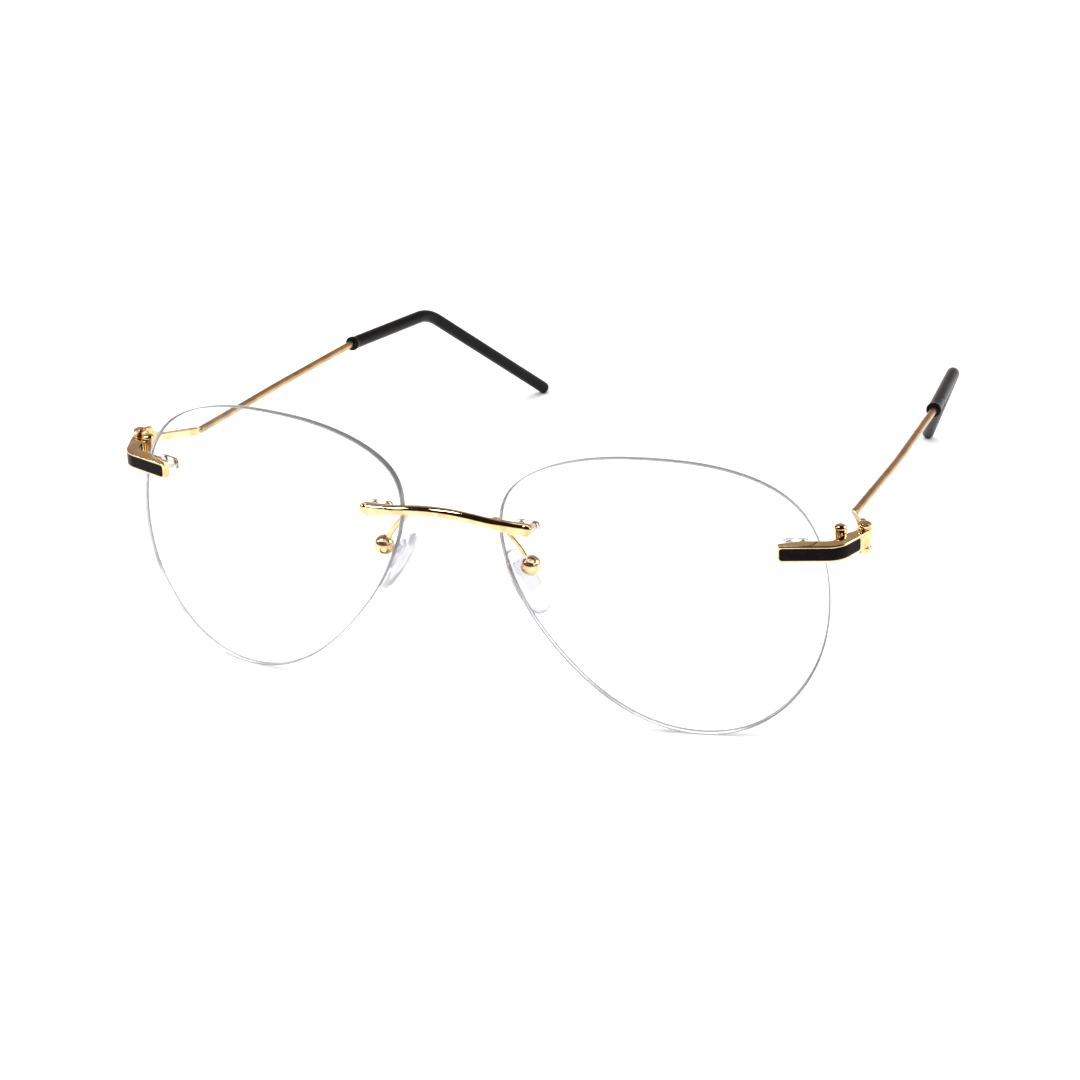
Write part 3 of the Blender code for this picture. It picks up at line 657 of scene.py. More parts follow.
def wire_path():
    return rounded_path(at_front([WIRE_START, WIRE_MIDDLE, TIP_START]), 120.0, 10)


def tip_path():
    return rounded_path(at_front([TIP_START, TIP_BEND, TIP_END]), TIP_BEND_RADIUS, 14)


def pad_place():
    """Place at the pad's pivot: X along the pad, Y across it, Z towards the nose."""
    across = PAD_ACROSS.normalized()
    along = Vector(PAD_LENGTH_AXIS)
    along = (along - across * along.dot(across)).normalized()
    local = Matrix((along, across, along.cross(across))).transposed().to_4x4()
    local.translation = PAD_PIVOT
    return local


def across_pad():
    """The pad's place turned so that its Z axis lies along the pad screw."""
    return pad_place() @ Matrix.Rotation(-math.pi / 2.0, 4, "X")


# ---------------------------------------------------------------- finishes


def add_node(tree, kind, settings=None, inputs=None):
    """A node with its settings, and its inputs given as values or linked sockets."""
    node = tree.nodes.new(kind)
    for name, value in (settings or {}).items():
        setattr(node, name, value)
    for name, value in (inputs or {}).items():
        socket = node.inputs[name]
        if isinstance(value, bpy.types.NodeSocket):
            tree.links.new(value, socket)
        else:
            socket.default_value = value
    return node


def new_group(name, inputs, outputs):
    """A shader node group with named sockets, and its input and output nodes."""
    group = bpy.data.node_groups.new(name, "ShaderNodeTree")
    for label, kind, default in inputs:
        socket = group.interface.new_socket(label, in_out="INPUT", socket_type=kind)
        if default is not None:
            socket.default_value = default
    for label, kind in outputs:
        group.interface.new_socket(label, in_out="OUTPUT", socket_type=kind)
    return group, group.nodes.new("NodeGroupInput"), group.nodes.new("NodeGroupOutput")


def noise(tree, vector, scale, detail=3.0, roughness=0.5):
    return add_node(tree, "ShaderNodeTexNoise", None, {
        "Vector": vector, "Scale": scale, "Detail": detail, "Roughness": roughness}
        ).outputs["Fac"]


def span(tree, value, low, high, to_low=0.0, to_high=1.0):
    """The value's range from low to high, spread smoothly over another range."""
    return add_node(tree, "ShaderNodeMapRange", {"interpolation_type": "SMOOTHSTEP"}, {
        "Value": value, "From Min": low, "From Max": high, "To Min": to_low,
        "To Max": to_high}).outputs["Result"]


def maths(tree, operation, first, second=0.0):
    node = add_node(tree, "ShaderNodeMath", {"operation": operation}, None)
    for socket, value in zip(node.inputs, (first, second)):
        if isinstance(value, bpy.types.NodeSocket):
            tree.links.new(value, socket)
        else:
            socket.default_value = value
    return node.outputs[0]


def blend_colours(tree, factor, first, second):
    node = add_node(tree, "ShaderNodeMix", {"data_type": "RGBA"}, None)
    for socket, value in ((node.inputs[0], factor), (node.inputs[6], first),
                          (node.inputs[7], second)):
        if isinstance(value, bpy.types.NodeSocket):
            tree.links.new(value, socket)
        else:
            socket.default_value = value
    return node.outputs[2]


def tone_drift_group():
    """Slow drift between two tones, as in plating or moulded plastic of uneven thickness."""
    group, start, end = new_group(
        "tone_drift",
        [("Vector", "NodeSocketVector", None), ("Tone", "NodeSocketColor", None),
         ("Deep Tone", "NodeSocketColor", None), ("Scale", "NodeSocketFloat", 300.0)],
        [("Colour", "NodeSocketColor")])
    broad = noise(group, start.outputs["Vector"], start.outputs["Scale"], 2.0)
    factor = span(group, broad, 0.38, 0.66)
    group.links.new(blend_colours(group, factor, start.outputs["Tone"],
                                  start.outputs["Deep Tone"]), end.inputs["Colour"])
    return group


def fine_grain_group():
    """Small-scale surface height and a mask of its high spots."""
    group, start, end = new_group(
        "fine_grain",
        [("Vector", "NodeSocketVector", None), ("Scale", "NodeSocketFloat", 3000.0)],
        [("Height", "NodeSocketFloat"), ("Mask", "NodeSocketFloat")])
    coarse = noise(group, start.outputs["Vector"], start.outputs["Scale"], 4.0, 0.55)
    finer = maths(group, "MULTIPLY", start.outputs["Scale"], 3.7)
    fine = noise(group, start.outputs["Vector"], finer, 2.0)
    height = maths(group, "ADD", maths(group, "MULTIPLY", coarse, 0.7),
                   maths(group, "MULTIPLY", fine, 0.3))
    group.links.new(height, end.inputs["Height"])
    group.links.new(span(group, height, 0.5, 0.68), end.inputs["Mask"])
    return group


def handling_wear_group():
    """Hair-fine rub marks, gathered in patches and on outer edges, that dull the polish."""
    group, start, end = new_group(
        "handling_wear",
        [("Vector", "NodeSocketVector", None), ("Patch Scale", "NodeSocketFloat", 180.0),
         ("Rub Scale", "NodeSocketFloat", 2500.0), ("Polished", "NodeSocketFloat", 0.08),
         ("Worn", "NodeSocketFloat", 0.22)],
        [("Roughness", "NodeSocketFloat"), ("Mask", "NodeSocketFloat")])
    patches = span(group, noise(group, start.outputs["Vector"], start.outputs["Patch Scale"]),
                   0.45, 0.7)
    stretch = add_node(group, "ShaderNodeMapping", None, {
        "Vector": start.outputs["Vector"], "Scale": (1.0, 0.12, 0.6),
        "Rotation": (0.3, 0.5, 0.9)}).outputs["Vector"]
    rubs = span(group, noise(group, stretch, start.outputs["Rub Scale"], 2.0), 0.55, 0.72)
    edges = span(group, add_node(group, "ShaderNodeNewGeometry").outputs["Pointiness"],
                 0.52, 0.6)
    mask = maths(group, "MAXIMUM", maths(group, "MULTIPLY", rubs, patches),
                 maths(group, "MULTIPLY", edges, 0.5))
    rough = span(group, mask, 0.0, 1.0, start.outputs["Polished"], start.outputs["Worn"])
    group.links.new(rough, end.inputs["Roughness"])
    group.links.new(mask, end.inputs["Mask"])
    return group


def settled_dust_group():
    """Sparse specks of dust that lie on faces turned upwards."""
    group, start, end = new_group(
        "settled_dust",
        [("Vector", "NodeSocketVector", None), ("Scale", "NodeSocketFloat", 4000.0),
         ("Amount", "NodeSocketFloat", 0.3)],
        [("Mask", "NodeSocketFloat")])
    specks = add_node(group, "ShaderNodeTexVoronoi", {"feature": "F1"}, {
        "Vector": start.outputs["Vector"], "Scale": start.outputs["Scale"]})
    dots = span(group, specks.outputs["Distance"], 0.10, 0.16, 1.0, 0.0)
    sparse = span(group, noise(group, start.outputs["Vector"], 900.0), 0.52, 0.62)
    normal = add_node(group, "ShaderNodeNewGeometry").outputs["Normal"]
    upward = span(group, add_node(group, "ShaderNodeSeparateXYZ", None,
                                  {"Vector": normal}).outputs["Z"], 0.1, 0.8)
    mask = maths(group, "MULTIPLY", maths(group, "MULTIPLY", dots, sparse), upward)
    group.links.new(maths(group, "MULTIPLY", mask, start.outputs["Amount"]), end.inputs["Mask"])
    return group


GROUP_MAKERS = {
    "tone_drift": tone_drift_group,
    "fine_grain": fine_grain_group,
    "handling_wear": handling_wear_group,
    "settled_dust": settled_dust_group,
}


def use_group(tree, name, inputs):
    """Places a shared effect, which is made the first time it is wanted."""
    group = bpy.data.node_groups.get(name) or GROUP_MAKERS[name]()
    return add_node(tree, "ShaderNodeGroup", {"node_tree": group}, inputs).outputs


def start_material(name, **values):
    """A material with one Principled shader, its constants and the object coordinates."""
    material = bpy.data.materials.new(name)
    material.use_nodes = True
    tree = material.node_tree
    shader = tree.nodes["Principled BSDF"]
    for label, value in values.items():
        shader.inputs[label.replace("_", " ")].default_value = value
    vector = tree.nodes.new("ShaderNodeTexCoord").outputs["Object"]
    return material, tree, shader, vector


def add_relief(tree, shader, height, strength, distance):
    """Bump in the shader's normal from a height."""
    bump = add_node(tree, "ShaderNodeBump", None, {
        "Strength": strength, "Distance": distance * MM, "Height": height})
    tree.links.new(bump.outputs["Normal"], shader.inputs["Normal"])


def shaded(colour, factor):
    return (*(channel * factor for channel in colour[:3]), 1.0)


def polished_gold():
    """Mirror-polished plating with thin spots, faint rub marks and worn outer edges."""
    sizes = bpy.context.scene.eyewear_metal
    material, tree, shader, vector = start_material("polished_gold", Metallic=1.0)
    tone = use_group(tree, "tone_drift", {
        "Vector": vector, "Tone": tuple(sizes.gold), "Deep Tone": tuple(sizes.deep_gold),
        "Scale": 420.0})
    wear = use_group(tree, "handling_wear", {
        "Vector": vector, "Patch Scale": 260.0, "Rub Scale": 5200.0, "Polished": 0.07,
        "Worn": 0.2})
    grain = use_group(tree, "fine_grain", {"Vector": vector, "Scale": 1900.0})
    pale = blend_colours(tree, maths(tree, "MULTIPLY", wear["Mask"], 0.35), tone["Colour"],
                         (0.95, 0.83, 0.62, 1.0))
    tree.links.new(pale, shader.inputs["Base Color"])
    tree.links.new(wear["Roughness"], shader.inputs["Roughness"])
    add_relief(tree, shader, grain["Height"], 0.12, 0.012)
    return material


def drawn_gold():
    """Plated wire with the lengthwise lines that drawing leaves."""
    sizes = bpy.context.scene.eyewear_temple
    material, tree, shader, vector = start_material("drawn_gold", Metallic=1.0)
    lines = add_node(tree, "ShaderNodeMapping", None, {
        "Vector": vector, "Scale": (1.0, 0.03, 1.0)}).outputs["Vector"]
    drawn = use_group(tree, "fine_grain", {"Vector": lines, "Scale": 4200.0})
    tone = use_group(tree, "tone_drift", {
        "Vector": vector, "Tone": tuple(sizes.wire_colour),
        "Deep Tone": shaded(sizes.wire_colour, 0.72), "Scale": 240.0})
    wear = use_group(tree, "handling_wear", {
        "Vector": vector, "Patch Scale": 150.0, "Rub Scale": 3800.0, "Polished": 0.32,
        "Worn": 0.46})
    streaked = blend_colours(tree, maths(tree, "MULTIPLY", drawn["Mask"], 0.4),
                             tone["Colour"], shaded(sizes.wire_colour, 1.3))
    tree.links.new(streaked, shader.inputs["Base Color"])
    tree.links.new(wear["Roughness"], shader.inputs["Roughness"])
    add_relief(tree, shader, drawn["Height"], 0.25, 0.02)
    return material


def gloss_enamel():
    """Deep black enamel with a faint orange-peel surface."""
    sizes = bpy.context.scene.eyewear_metal
    material, tree, shader, vector = start_material(
        "gloss_enamel", Specular_IOR_Level=0.05)
    tone = use_group(tree, "tone_drift", {
        "Vector": vector, "Tone": tuple(sizes.enamel),
        "Deep Tone": shaded(sizes.enamel, 2.2), "Scale": 520.0})
    wear = use_group(tree, "handling_wear", {
        "Vector": vector, "Patch Scale": 320.0, "Rub Scale": 4800.0, "Polished": 0.06,
        "Worn": 0.2})
    dust = use_group(tree, "settled_dust", {"Vector": vector, "Scale": 5200.0, "Amount": 0.05})
    peel = use_group(tree, "fine_grain", {"Vector": vector, "Scale": 1300.0})
    dusted = blend_colours(tree, dust["Mask"], tone["Colour"], (0.4, 0.38, 0.36, 1.0))
    tree.links.new(dusted, shader.inputs["Base Color"])
    tree.links.new(wear["Roughness"], shader.inputs["Roughness"])
    add_relief(tree, shader, peel["Height"], 0.1, 0.012)
    return material


def satin_silicone():
    """Black moulded silicone: satin, finely grained, with a little dust on top."""
    sizes = bpy.context.scene.eyewear_temple
    material, tree, shader, vector = start_material(
        "satin_silicone", Specular_IOR_Level=0.08)
    tone = use_group(tree, "tone_drift", {
        "Vector": vector, "Tone": tuple(sizes.tip_colour),
        "Deep Tone": shaded(sizes.tip_colour, 1.8), "Scale": 260.0})
    wear = use_group(tree, "handling_wear", {
        "Vector": vector, "Patch Scale": 140.0, "Rub Scale": 2600.0, "Polished": 0.3,
        "Worn": 0.48})
    dust = use_group(tree, "settled_dust", {"Vector": vector, "Scale": 3600.0, "Amount": 0.06})
    grain = use_group(tree, "fine_grain", {"Vector": vector, "Scale": 5200.0})
    dusted = blend_colours(tree, dust["Mask"], tone["Colour"], (0.35, 0.34, 0.33, 1.0))
    tree.links.new(dusted, shader.inputs["Base Color"])
    tree.links.new(wear["Roughness"], shader.inputs["Roughness"])
    add_relief(tree, shader, grain["Height"], 0.3, 0.02)
    return material


def let_light_through(tree, shader, shade):
    """Lets lamps shine through clear plastic, so that it throws only a faint shadow."""
    output = tree.nodes["Material Output"]
    open_shader = add_node(tree, "ShaderNodeBsdfTransparent", None, {"Color": shade})
    rays = tree.nodes.new("ShaderNodeLightPath")
    mix = add_node(tree, "ShaderNodeMixShader")
    tree.links.new(rays.outputs["Is Shadow Ray"], mix.inputs[0])
    tree.links.new(shader.outputs[0], mix.inputs[1])
    tree.links.new(open_shader.outputs[0], mix.inputs[2])
    tree.links.new(mix.outputs[0], output.inputs["Surface"])


def clear_plastic(name, tint, ior, rough_low, rough_high, shade, grain_scale, relief,
                  **values):
    """Clear plastic with faint smears in its polish."""
    material, tree, shader, vector = start_material(
        name, **{"Transmission_Weight": 1.0, "IOR": ior, **values})
    tone = use_group(tree, "tone_drift", {
        "Vector": vector, "Tone": tint, "Deep Tone": shaded(tint, 0.985), "Scale": 60.0})
    wear = use_group(tree, "handling_wear", {
        "Vector": vector, "Patch Scale": 45.0, "Rub Scale": 900.0, "Polished": rough_low,
        "Worn": rough_high})
    tree.links.new(tone["Colour"], shader.inputs["Base Color"])
    tree.links.new(wear["Roughness"], shader.inputs["Roughness"])
    if relief > 0.0:
        grain = use_group(tree, "fine_grain", {"Vector": vector, "Scale": grain_scale})
        add_relief(tree, shader, grain["Height"], relief, 0.02)
    let_light_through(tree, shader, shade)
    return material


def lens_plastic():
    tint = tuple(bpy.context.scene.eyewear_lens.tint)
    return clear_plastic("lens_plastic", tint, 1.55, 0.0, 0.02, (0.88, 0.88, 0.88, 1.0), 0.0, 0.0,
                         Specular_Tint=(0.3, 0.3, 0.33, 1.0))


def lens_edge_painted_shade():
    """The lens's ground and buffed edge, duller than its faces, its grey colour a painted shade for the
    dark line seen along the rim.
    """
    return clear_plastic("lens_edge_painted_shade", (0.22, 0.23, 0.25, 1.0), 1.55, 0.22, 0.36,
                         (0.3, 0.3, 0.3, 1.0), 3200.0, 0.2, Transmission_Weight=0.5,
                         Specular_Tint=(0.3, 0.31, 0.33, 1.0))


def sleeve_plastic():
    return clear_plastic("sleeve_plastic", (0.93, 0.95, 0.955, 1.0), 1.49, 0.05, 0.16,
                         (0.7, 0.7, 0.7, 1.0), 2600.0, 0.1)


def moulded_silicone():
    tint = tuple(bpy.context.scene.eyewear_pad.silicone)
    return clear_plastic("moulded_silicone", tint, 1.41, 0.1, 0.24, (0.75, 0.76, 0.78, 1.0),
                         2200.0, 0.15, Transmission_Weight=0.85)


def floor_paper():
    """Matt white paper with a trace of fibre."""
    colour = tuple(bpy.context.scene.eyewear_studio.floor_colour)
    material, tree, shader, vector = start_material(
        "floor_paper", Roughness=0.9, Specular_IOR_Level=0.1)
    tone = use_group(tree, "tone_drift", {
        "Vector": vector, "Tone": colour, "Deep Tone": shaded(colour, 0.99), "Scale": 30.0})
    fibre = use_group(tree, "fine_grain", {"Vector": vector, "Scale": 900.0})
    tree.links.new(tone["Colour"], shader.inputs["Base Color"])
    add_relief(tree, shader, fibre["Height"], 0.05, 0.02)
    return material


FINISH_MAKERS = {
    "polished_gold": polished_gold, "drawn_gold": drawn_gold, "gloss_enamel": gloss_enamel,
    "satin_silicone": satin_silicone, "lens_plastic": lens_plastic, "lens_edge_painted_shade": lens_edge_painted_shade,
    "sleeve_plastic": sleeve_plastic, "moulded_silicone": moulded_silicone, "floor_paper": floor_paper,
}


def finish(name):
    return bpy.data.materials.get(name) or FINISH_MAKERS[name]()


# ---------------------------------------------------------------- lenses and their mounts


def lens_mesh():
    """The shell as one skin: front rings, a rounded polished rim, then back rings."""
    sizes = bpy.context.scene.eyewear_lens
    thickness, polish = sizes.thickness / MM, sizes.rim_polish / MM
    rim = [Vector((u, v)) for u, v in lens_rim()]
    outward = []
    for i, point in enumerate(rim):
        along = rim[(i + 1) % len(rim)] - rim[i - 1]
        outward.append(Vector((along.y, -along.x)).normalized())
    if outward[0].dot(rim[0]) < 0.0:
        outward = [-o for o in outward]
    profile = []
    for k in range(RIM_ARC_STEPS + 1):
        turn = math.pi / 2.0 * k / RIM_ARC_STEPS
        profile.append((polish * (math.sin(turn) - 1.0), polish * (1.0 - math.cos(turn))))
    profile += [(offset, thickness - depth) for offset, depth in reversed(profile)]
    place = lens_place()

    def build(bm):
        def ring(scale, offset, depth):
            made = []
            for point, out in zip(rim, outward):
                uv = (point + out * offset) * scale
                made.append(bm.verts.new(place @ lens_point(uv.x, uv.y, depth)))
            return made

        inset = profile[0][0]
        scales = [(k / LENS_RINGS) for k in range(1, LENS_RINGS)]
        rings = [ring(s, inset, 0.0) for s in scales]
        rings += [ring(1.0, offset, depth) for offset, depth in profile]
        rings += [ring(s, inset, thickness) for s in reversed(scales)]
        for near, far in zip(rings, rings[1:]):
            for i in range(len(near)):
                j = (i + 1) % len(near)
                bm.faces.new((near[i], near[j], far[j], far[i]))
        for edge, depth in ((rings[0], 0.0), (rings[-1], thickness)):
            middle = bm.verts.new(place @ lens_point(0.0, 0.0, depth))
            for i in range(len(edge)):
                bm.faces.new((middle, edge[i], edge[(i + 1) % len(edge)]))

    return mesh_from("lens", build)


def finish_faces(mesh, centre):
    """Gives the two spherical faces their exact normals, and every cut face the edge finish with its
    painted grey shade.
    """
    mesh.materials.append(finish("lens_edge_painted_shade"))
    mesh.shade_smooth()
    mesh.set_sharp_from_angle(angle=math.radians(38.0))
    normals = [Vector(corner.vector) for corner in mesh.corner_normals]
    for face in mesh.polygons:
        radial = (face.center - centre).normalized()
        facing = face.normal.dot(radial)
        face.material_index = 0 if abs(facing) > 0.99 else 1
        if face.material_index == 0:
            for corner in face.loop_indices:
                point = mesh.vertices[mesh.loops[corner].vertex_index].co
                normals[corner] = (point - centre).normalized() * math.copysign(1.0, facing)
    mesh.normals_split_custom_set(normals)


class EYEWEAR_OT_lenses(bpy.types.Operator):
    """Cut, polish and drill the two lenses."""

    bl_idname = "eyewear.lenses"
    bl_label = "Lenses"

    def execute(self, context):
        holes = []
        for place in mounts():
            for x in post_offsets():
                axis = place @ Matrix.Translation((x, 0.0, 0.0))
                holes.append(rod_mesh("hole", -1.5, lens_thickness() + 1.5, HOLE_RADIUS, axis,
                                      segments=36))
        mesh = sculpt(lens_mesh(), cuts=holes)
        centre = lens_place() @ Vector((0.0, base_curve(), 0.0)) * MM
        pair = add_pair("clear_lens", mesh, finish("lens_plastic"), "front", "lens",
                        smooth_angle=None)
        for piece, sign in zip(pair, (1.0, -1.0)):
            finish_faces(piece.data, Vector((sign * centre.x, centre.y, centre.z)))
        return {"FINISHED"}


def sleeve_mesh(place):
    """A clear sleeve: a soft-edged plate behind the lens and two bored barrels in its holes."""
    width, depth, height = SLEEVE_PLATE
    back = lens_thickness() + PLATE_GAP
    half_w, half_h = width / 2.0, height / 2.0
    outline = rounded_outline([(-half_w, -half_h), (half_w, -half_h), (half_w, half_h),
                               (-half_w, half_h)], 0.7, 5)
    plate = plate_mesh("sleeve", outline, back, back + depth, place)
    barrels, bores = [], []
    for x in post_offsets():
        axis = place @ Matrix.Translation((x, 0.0, 0.0))
        barrels.append(rod_mesh("barrel", 0.1, back + 0.2, SLEEVE_RADIUS, axis, 0.08))
        bores.append(rod_mesh("bore", -0.5, back + 1.5, SLEEVE_BORE, axis))
    return sculpt(plate, barrels, bores, bevel=0.1)


class EYEWEAR_OT_sleeves(bpy.types.Operator):
    """Press the clear twin sleeves into the lens holes."""

    bl_idname = "eyewear.sleeves"
    bl_label = "Mount Sleeves"

    def execute(self, context):
        for name, node, place in zip(("bridge_bush", "end_bush"),
                                     ("bridge_sleeve", "end_piece_sleeve"), mounts()):
            add_pair(name, sleeve_mesh(place), finish("sleeve_plastic"), "front",
                     node)
        return {"FINISHED"}


# ---------------------------------------------------------------- bridge


class EYEWEAR_OT_bridge(bpy.types.Operator):
    """Form the arched bridge with its four posts."""

    bl_idname = "eyewear.bridge"
    bl_label = "Bridge"

    stations = 96

    def bar(self, sizes):
        """The arched bar: round at its middle, fuller and flatter faced over the lenses."""
        middle, end = sizes.bridge_radius / MM, sizes.bridge_end_radius / MM
        path, sections = [], []
        for k in range(self.stations + 1):
            x = BRIDGE_HALF_SPAN * math.sin(math.pi * (k / self.stations - 0.5))
            swell = min(1.0, max(0.0, (abs(x) - 8.0) / 3.5))
            swell = swell * swell * (3.0 - 2.0 * swell)
            nose = max(0.0, 1.0 - (BRIDGE_HALF_SPAN - abs(x)) / BRIDGE_NOSE_LENGTH)
            radius = (middle + (end - middle) * swell) * math.sqrt(1.0 - 0.86 * nose ** 2.4)
            path.append(bridge_point(x))
            sections.append(ring_section(radius, 36, 2.0 + 0.9 * swell, 1.0 - 0.05 * swell))
        return swept_mesh("bridge", path, sections)

    def execute(self, context):
        place = mounts()[0]
        posts = post_meshes(place, -BRIDGE_POST_REACH)
        posts += [mirrored(post) for post in posts]
        mesh = sculpt(self.bar(context.scene.eyewear_metal), posts)
        add_piece("bridge_bar", mesh, finish("polished_gold"), "front", "bridge")
        return {"FINISHED"}


# ---------------------------------------------------------------- end pieces


def end_line():
    """The end piece's centre line, from over the lens to the hinge."""
    points = [(x, y + FRONT_Y, HINGE.z) for x, y in END_PATH]
    return rounded_path(points, END_CORNER_RADIUS, 16)


def strip_mesh(name, near, far, half_height, span_mm, end_radius, crown=0.0):
    """A strip beside the centre line, with rounded ends and an optionally crowned face."""
    line = end_line()
    start, stop = span_mm
    stations = [start + end_radius * (1.0 - math.cos(math.radians(a))) for a in (12, 30, 50, 70)]
    inner = np.linspace(start + end_radius, stop - end_radius, 52)
    stations += [*inner, *(start + stop - s for s in reversed(stations))]
    path, sections = [], []
    for s in stations:
        path.append(point_along(line, s))
        inset = max(0.0, start + end_radius - s, s - (stop - end_radius))
        curve = end_radius - math.sqrt(max(0.0, end_radius ** 2 - inset ** 2))
        half = half_height - curve
        face = []
        for k in range(9):
            t = 1.0 - k / 4.0
            face.append((-far - crown * (1.0 - t * t), half * t))
        sections.append([(-near, -half), (-near, half), *face])
    return swept_mesh(name, path, sections)


class EYEWEAR_OT_end_pieces(bpy.types.Operator):
    """Build the grooved gold end pieces, their black enamel strips and their lugs."""

    bl_idname = "eyewear.end_pieces"
    bl_label = "End Pieces"

    def bar(self):
        """The bar with softened long edges, thinner at both ends of its back."""
        line = end_line()
        length = path_length(line)
        half_d, half_h = END_DEPTH / 2.0, END_HEIGHT / 2.0
        stations = [0.0, 0.02, 0.06, 0.13, 0.22, END_ROUNDING]
        stations += list(np.linspace(END_ROUNDING + 0.2, length, 56))
        path, sections = [], []
        for s in stations:
            inset = max(0.0, END_ROUNDING - s)
            shrink = END_ROUNDING - math.sqrt(max(0.0, END_ROUNDING ** 2 - inset ** 2))
            front, h = half_d - shrink, half_h - shrink
            part = min(1.0, s / END_TAPER_LENGTH)
            thinner = END_TAPER * (1.0 - part * part * (3.0 - 2.0 * part))
            thinner += END_RELIEF * max(0.0, 1.0 - (length - s) / END_RELIEF_LENGTH)
            back = half_d - shrink - thinner
            path.append(point_along(line, s))
            sections.append(rounded_outline([(-front, -h), (back, -h), (back, h), (-front, h)],
                                            END_ROUNDING * 0.8, 4))
        return swept_mesh("end_piece", path, sections)

    def execute(self, context):
        face = END_DEPTH / 2.0
        axis = upright(HINGE.x, HINGE.y)
        reach = END_HEIGHT / 2.0 + KNUCKLE_STEP
        knuckle = rod_mesh("knuckle", HINGE.z - reach, HINGE.z + reach, KNUCKLE_RADIUS, axis,
                           KNUCKLE_ROUNDING, 44)
        bore = rod_mesh("bore", HINGE.z - reach - 1.0, HINGE.z + reach + 1.0, HINGE_BORE, axis)
        groove = strip_mesh("groove", face - INLAY_DEPTH - GAP, face + 0.8,
                            INLAY_HEIGHT / 2.0, INLAY_SPAN, 0.5)
        mesh = sculpt(self.bar(), [knuckle, *post_meshes(mounts()[1], -END_POST_REACH)], [groove, bore],
                      bevel=0.04, bevel_angle=60.0)
        add_pair("end_bar", mesh, finish("polished_gold"), "front", "end_piece")
        inlay_span = (INLAY_SPAN[0] + GAP, INLAY_SPAN[1] - GAP)
        inlay = strip_mesh("inlay", face - INLAY_DEPTH, face - 0.03, INLAY_HEIGHT / 2.0 - GAP,
                           inlay_span, 0.45, crown=0.03)
        add_pair("enamel_strip", inlay, finish("gloss_enamel"), "front",
                 "end_piece_inlay")
        x, y = LUG_XY
        low = HINGE.z - END_HEIGHT / 2.0
        outline = [(0.02, low), (LUG_RADIUS - 0.12, low), (LUG_RADIUS, low + 0.12)]
        for angle in range(0, 86, 12):
            turn = math.radians(angle)
            outline.append((LUG_RADIUS * (0.35 + 0.65 * math.cos(turn)),
                            LUG_TOP - 0.7 + 0.7 * math.sin(turn)))
        outline.append((0.02, LUG_TOP))
        lug = turned_mesh("lug", outline, upright(x, y + FRONT_Y), 40)
        add_pair("corner_lug", lug, finish("polished_gold"), "front", "end_piece_lug")
        return {"FINISHED"}


# ---------------------------------------------------------------- hinges


class EYEWEAR_OT_hinges(bpy.types.Operator):
    """Fit the slotted hinge screws, the washers and the temples' forked hinge ends."""

    bl_idname = "eyewear.hinges"
    bl_label = "Hinges"

    def screw(self, axis):
        """A shank with a low domed head, slotted across."""
        (bottom, _), (_, top) = knuckle_levels()
        head = top + GAP
        outline = [(0.02, bottom - 0.1), (SCREW_RADIUS - 0.06, bottom - 0.1),
                   (SCREW_RADIUS, bottom - 0.02), (SCREW_RADIUS, head),
                   (SCREW_HEAD_RADIUS - 0.05, head), (SCREW_HEAD_RADIUS, head + 0.05),
                   (SCREW_HEAD_RADIUS, head + 0.1), (SCREW_HEAD_RADIUS - 0.09, head + 0.18),
                   (0.6, head + 0.235), (0.02, head + SCREW_HEAD_HEIGHT)]
        body = turned_mesh("screw", outline, axis, 44)
        half, low = SCREW_SLOT_WIDTH / 2.0, head + SCREW_HEAD_HEIGHT - SCREW_SLOT_DEPTH
        slot = block_mesh("slot", (-2.0, -half, low), (2.0, half, head + 1.0), axis)
        return sculpt(body, cuts=[slot], bevel=0.02)

    def fork(self, axis):
        """Two knuckles on a web that narrows to a flat neck and meets the wire."""
        (bottom, low), (high, top) = knuckle_levels()
        start = at_front([WIRE_START])[0]
        length = (start - HINGE).to_2d().length - NECK_SETBACK
        outline = rounded_outline([
            (FORK_REACH, bottom), (2.2, bottom + 0.15), *NECK_UNDERSIDE,
            (length, start.z - NECK_BELOW_WIRE), (length, start.z + NECK_ABOVE_WIRE),
            *NECK_TOPSIDE, (2.3, top), (FORK_REACH, top)], 0.35, 4)
        turn = Matrix.Rotation(math.pi / 2.0 + NECK_TURN, 4, "Z")
        stand = axis @ turn @ Matrix(((1, 0, 0, 0), (0, 0, -1, 0), (0, 1, 0, 0), (0, 0, 0, 1)))
        half = NECK_THICKNESS / 2.0
        web = sculpt(plate_mesh("web", outline, -half, half, stand), bevel=0.2)
        extras = []
        for z0, z1 in ((bottom, low), (high, top)):
            extras.append(rod_mesh("knuckle", z0, z1, KNUCKLE_RADIUS, axis, KNUCKLE_ROUNDING,
                                   44))
            extras.append(block_mesh("link", (0.6, -0.42, z0 + 0.06),
                                     (FORK_REACH + 0.5, 0.42, z1 - 0.06), axis @ turn))
        bore = rod_mesh("bore", bottom - 1.0, top + 1.0, HINGE_BORE, axis)
        return sculpt(web, extras, [bore])

    def execute(self, context):
        axis = upright(HINGE.x, HINGE.y)
        gold = finish("polished_gold")
        (_, low), (high, _) = knuckle_levels()
        add_pair("barrel_screw", self.screw(axis), gold, "front", "hinge_screw")
        for name, level in (("lower", low + GAP), ("upper", high - GAP - WASHER_THICKNESS)):
            washer = knuckle_mesh("washer", level, level + WASHER_THICKNESS, WASHER_RADIUS,
                                  HINGE_BORE, axis, 0.04)
            add_pair(f"washer_{name}", washer, gold, "front", f"hinge_washer_{name}")
        add_pair("temple_fork", self.fork(axis), gold, "temple_", "temple_hinge")
        return {"FINISHED"}


# ---------------------------------------------------------------- temples


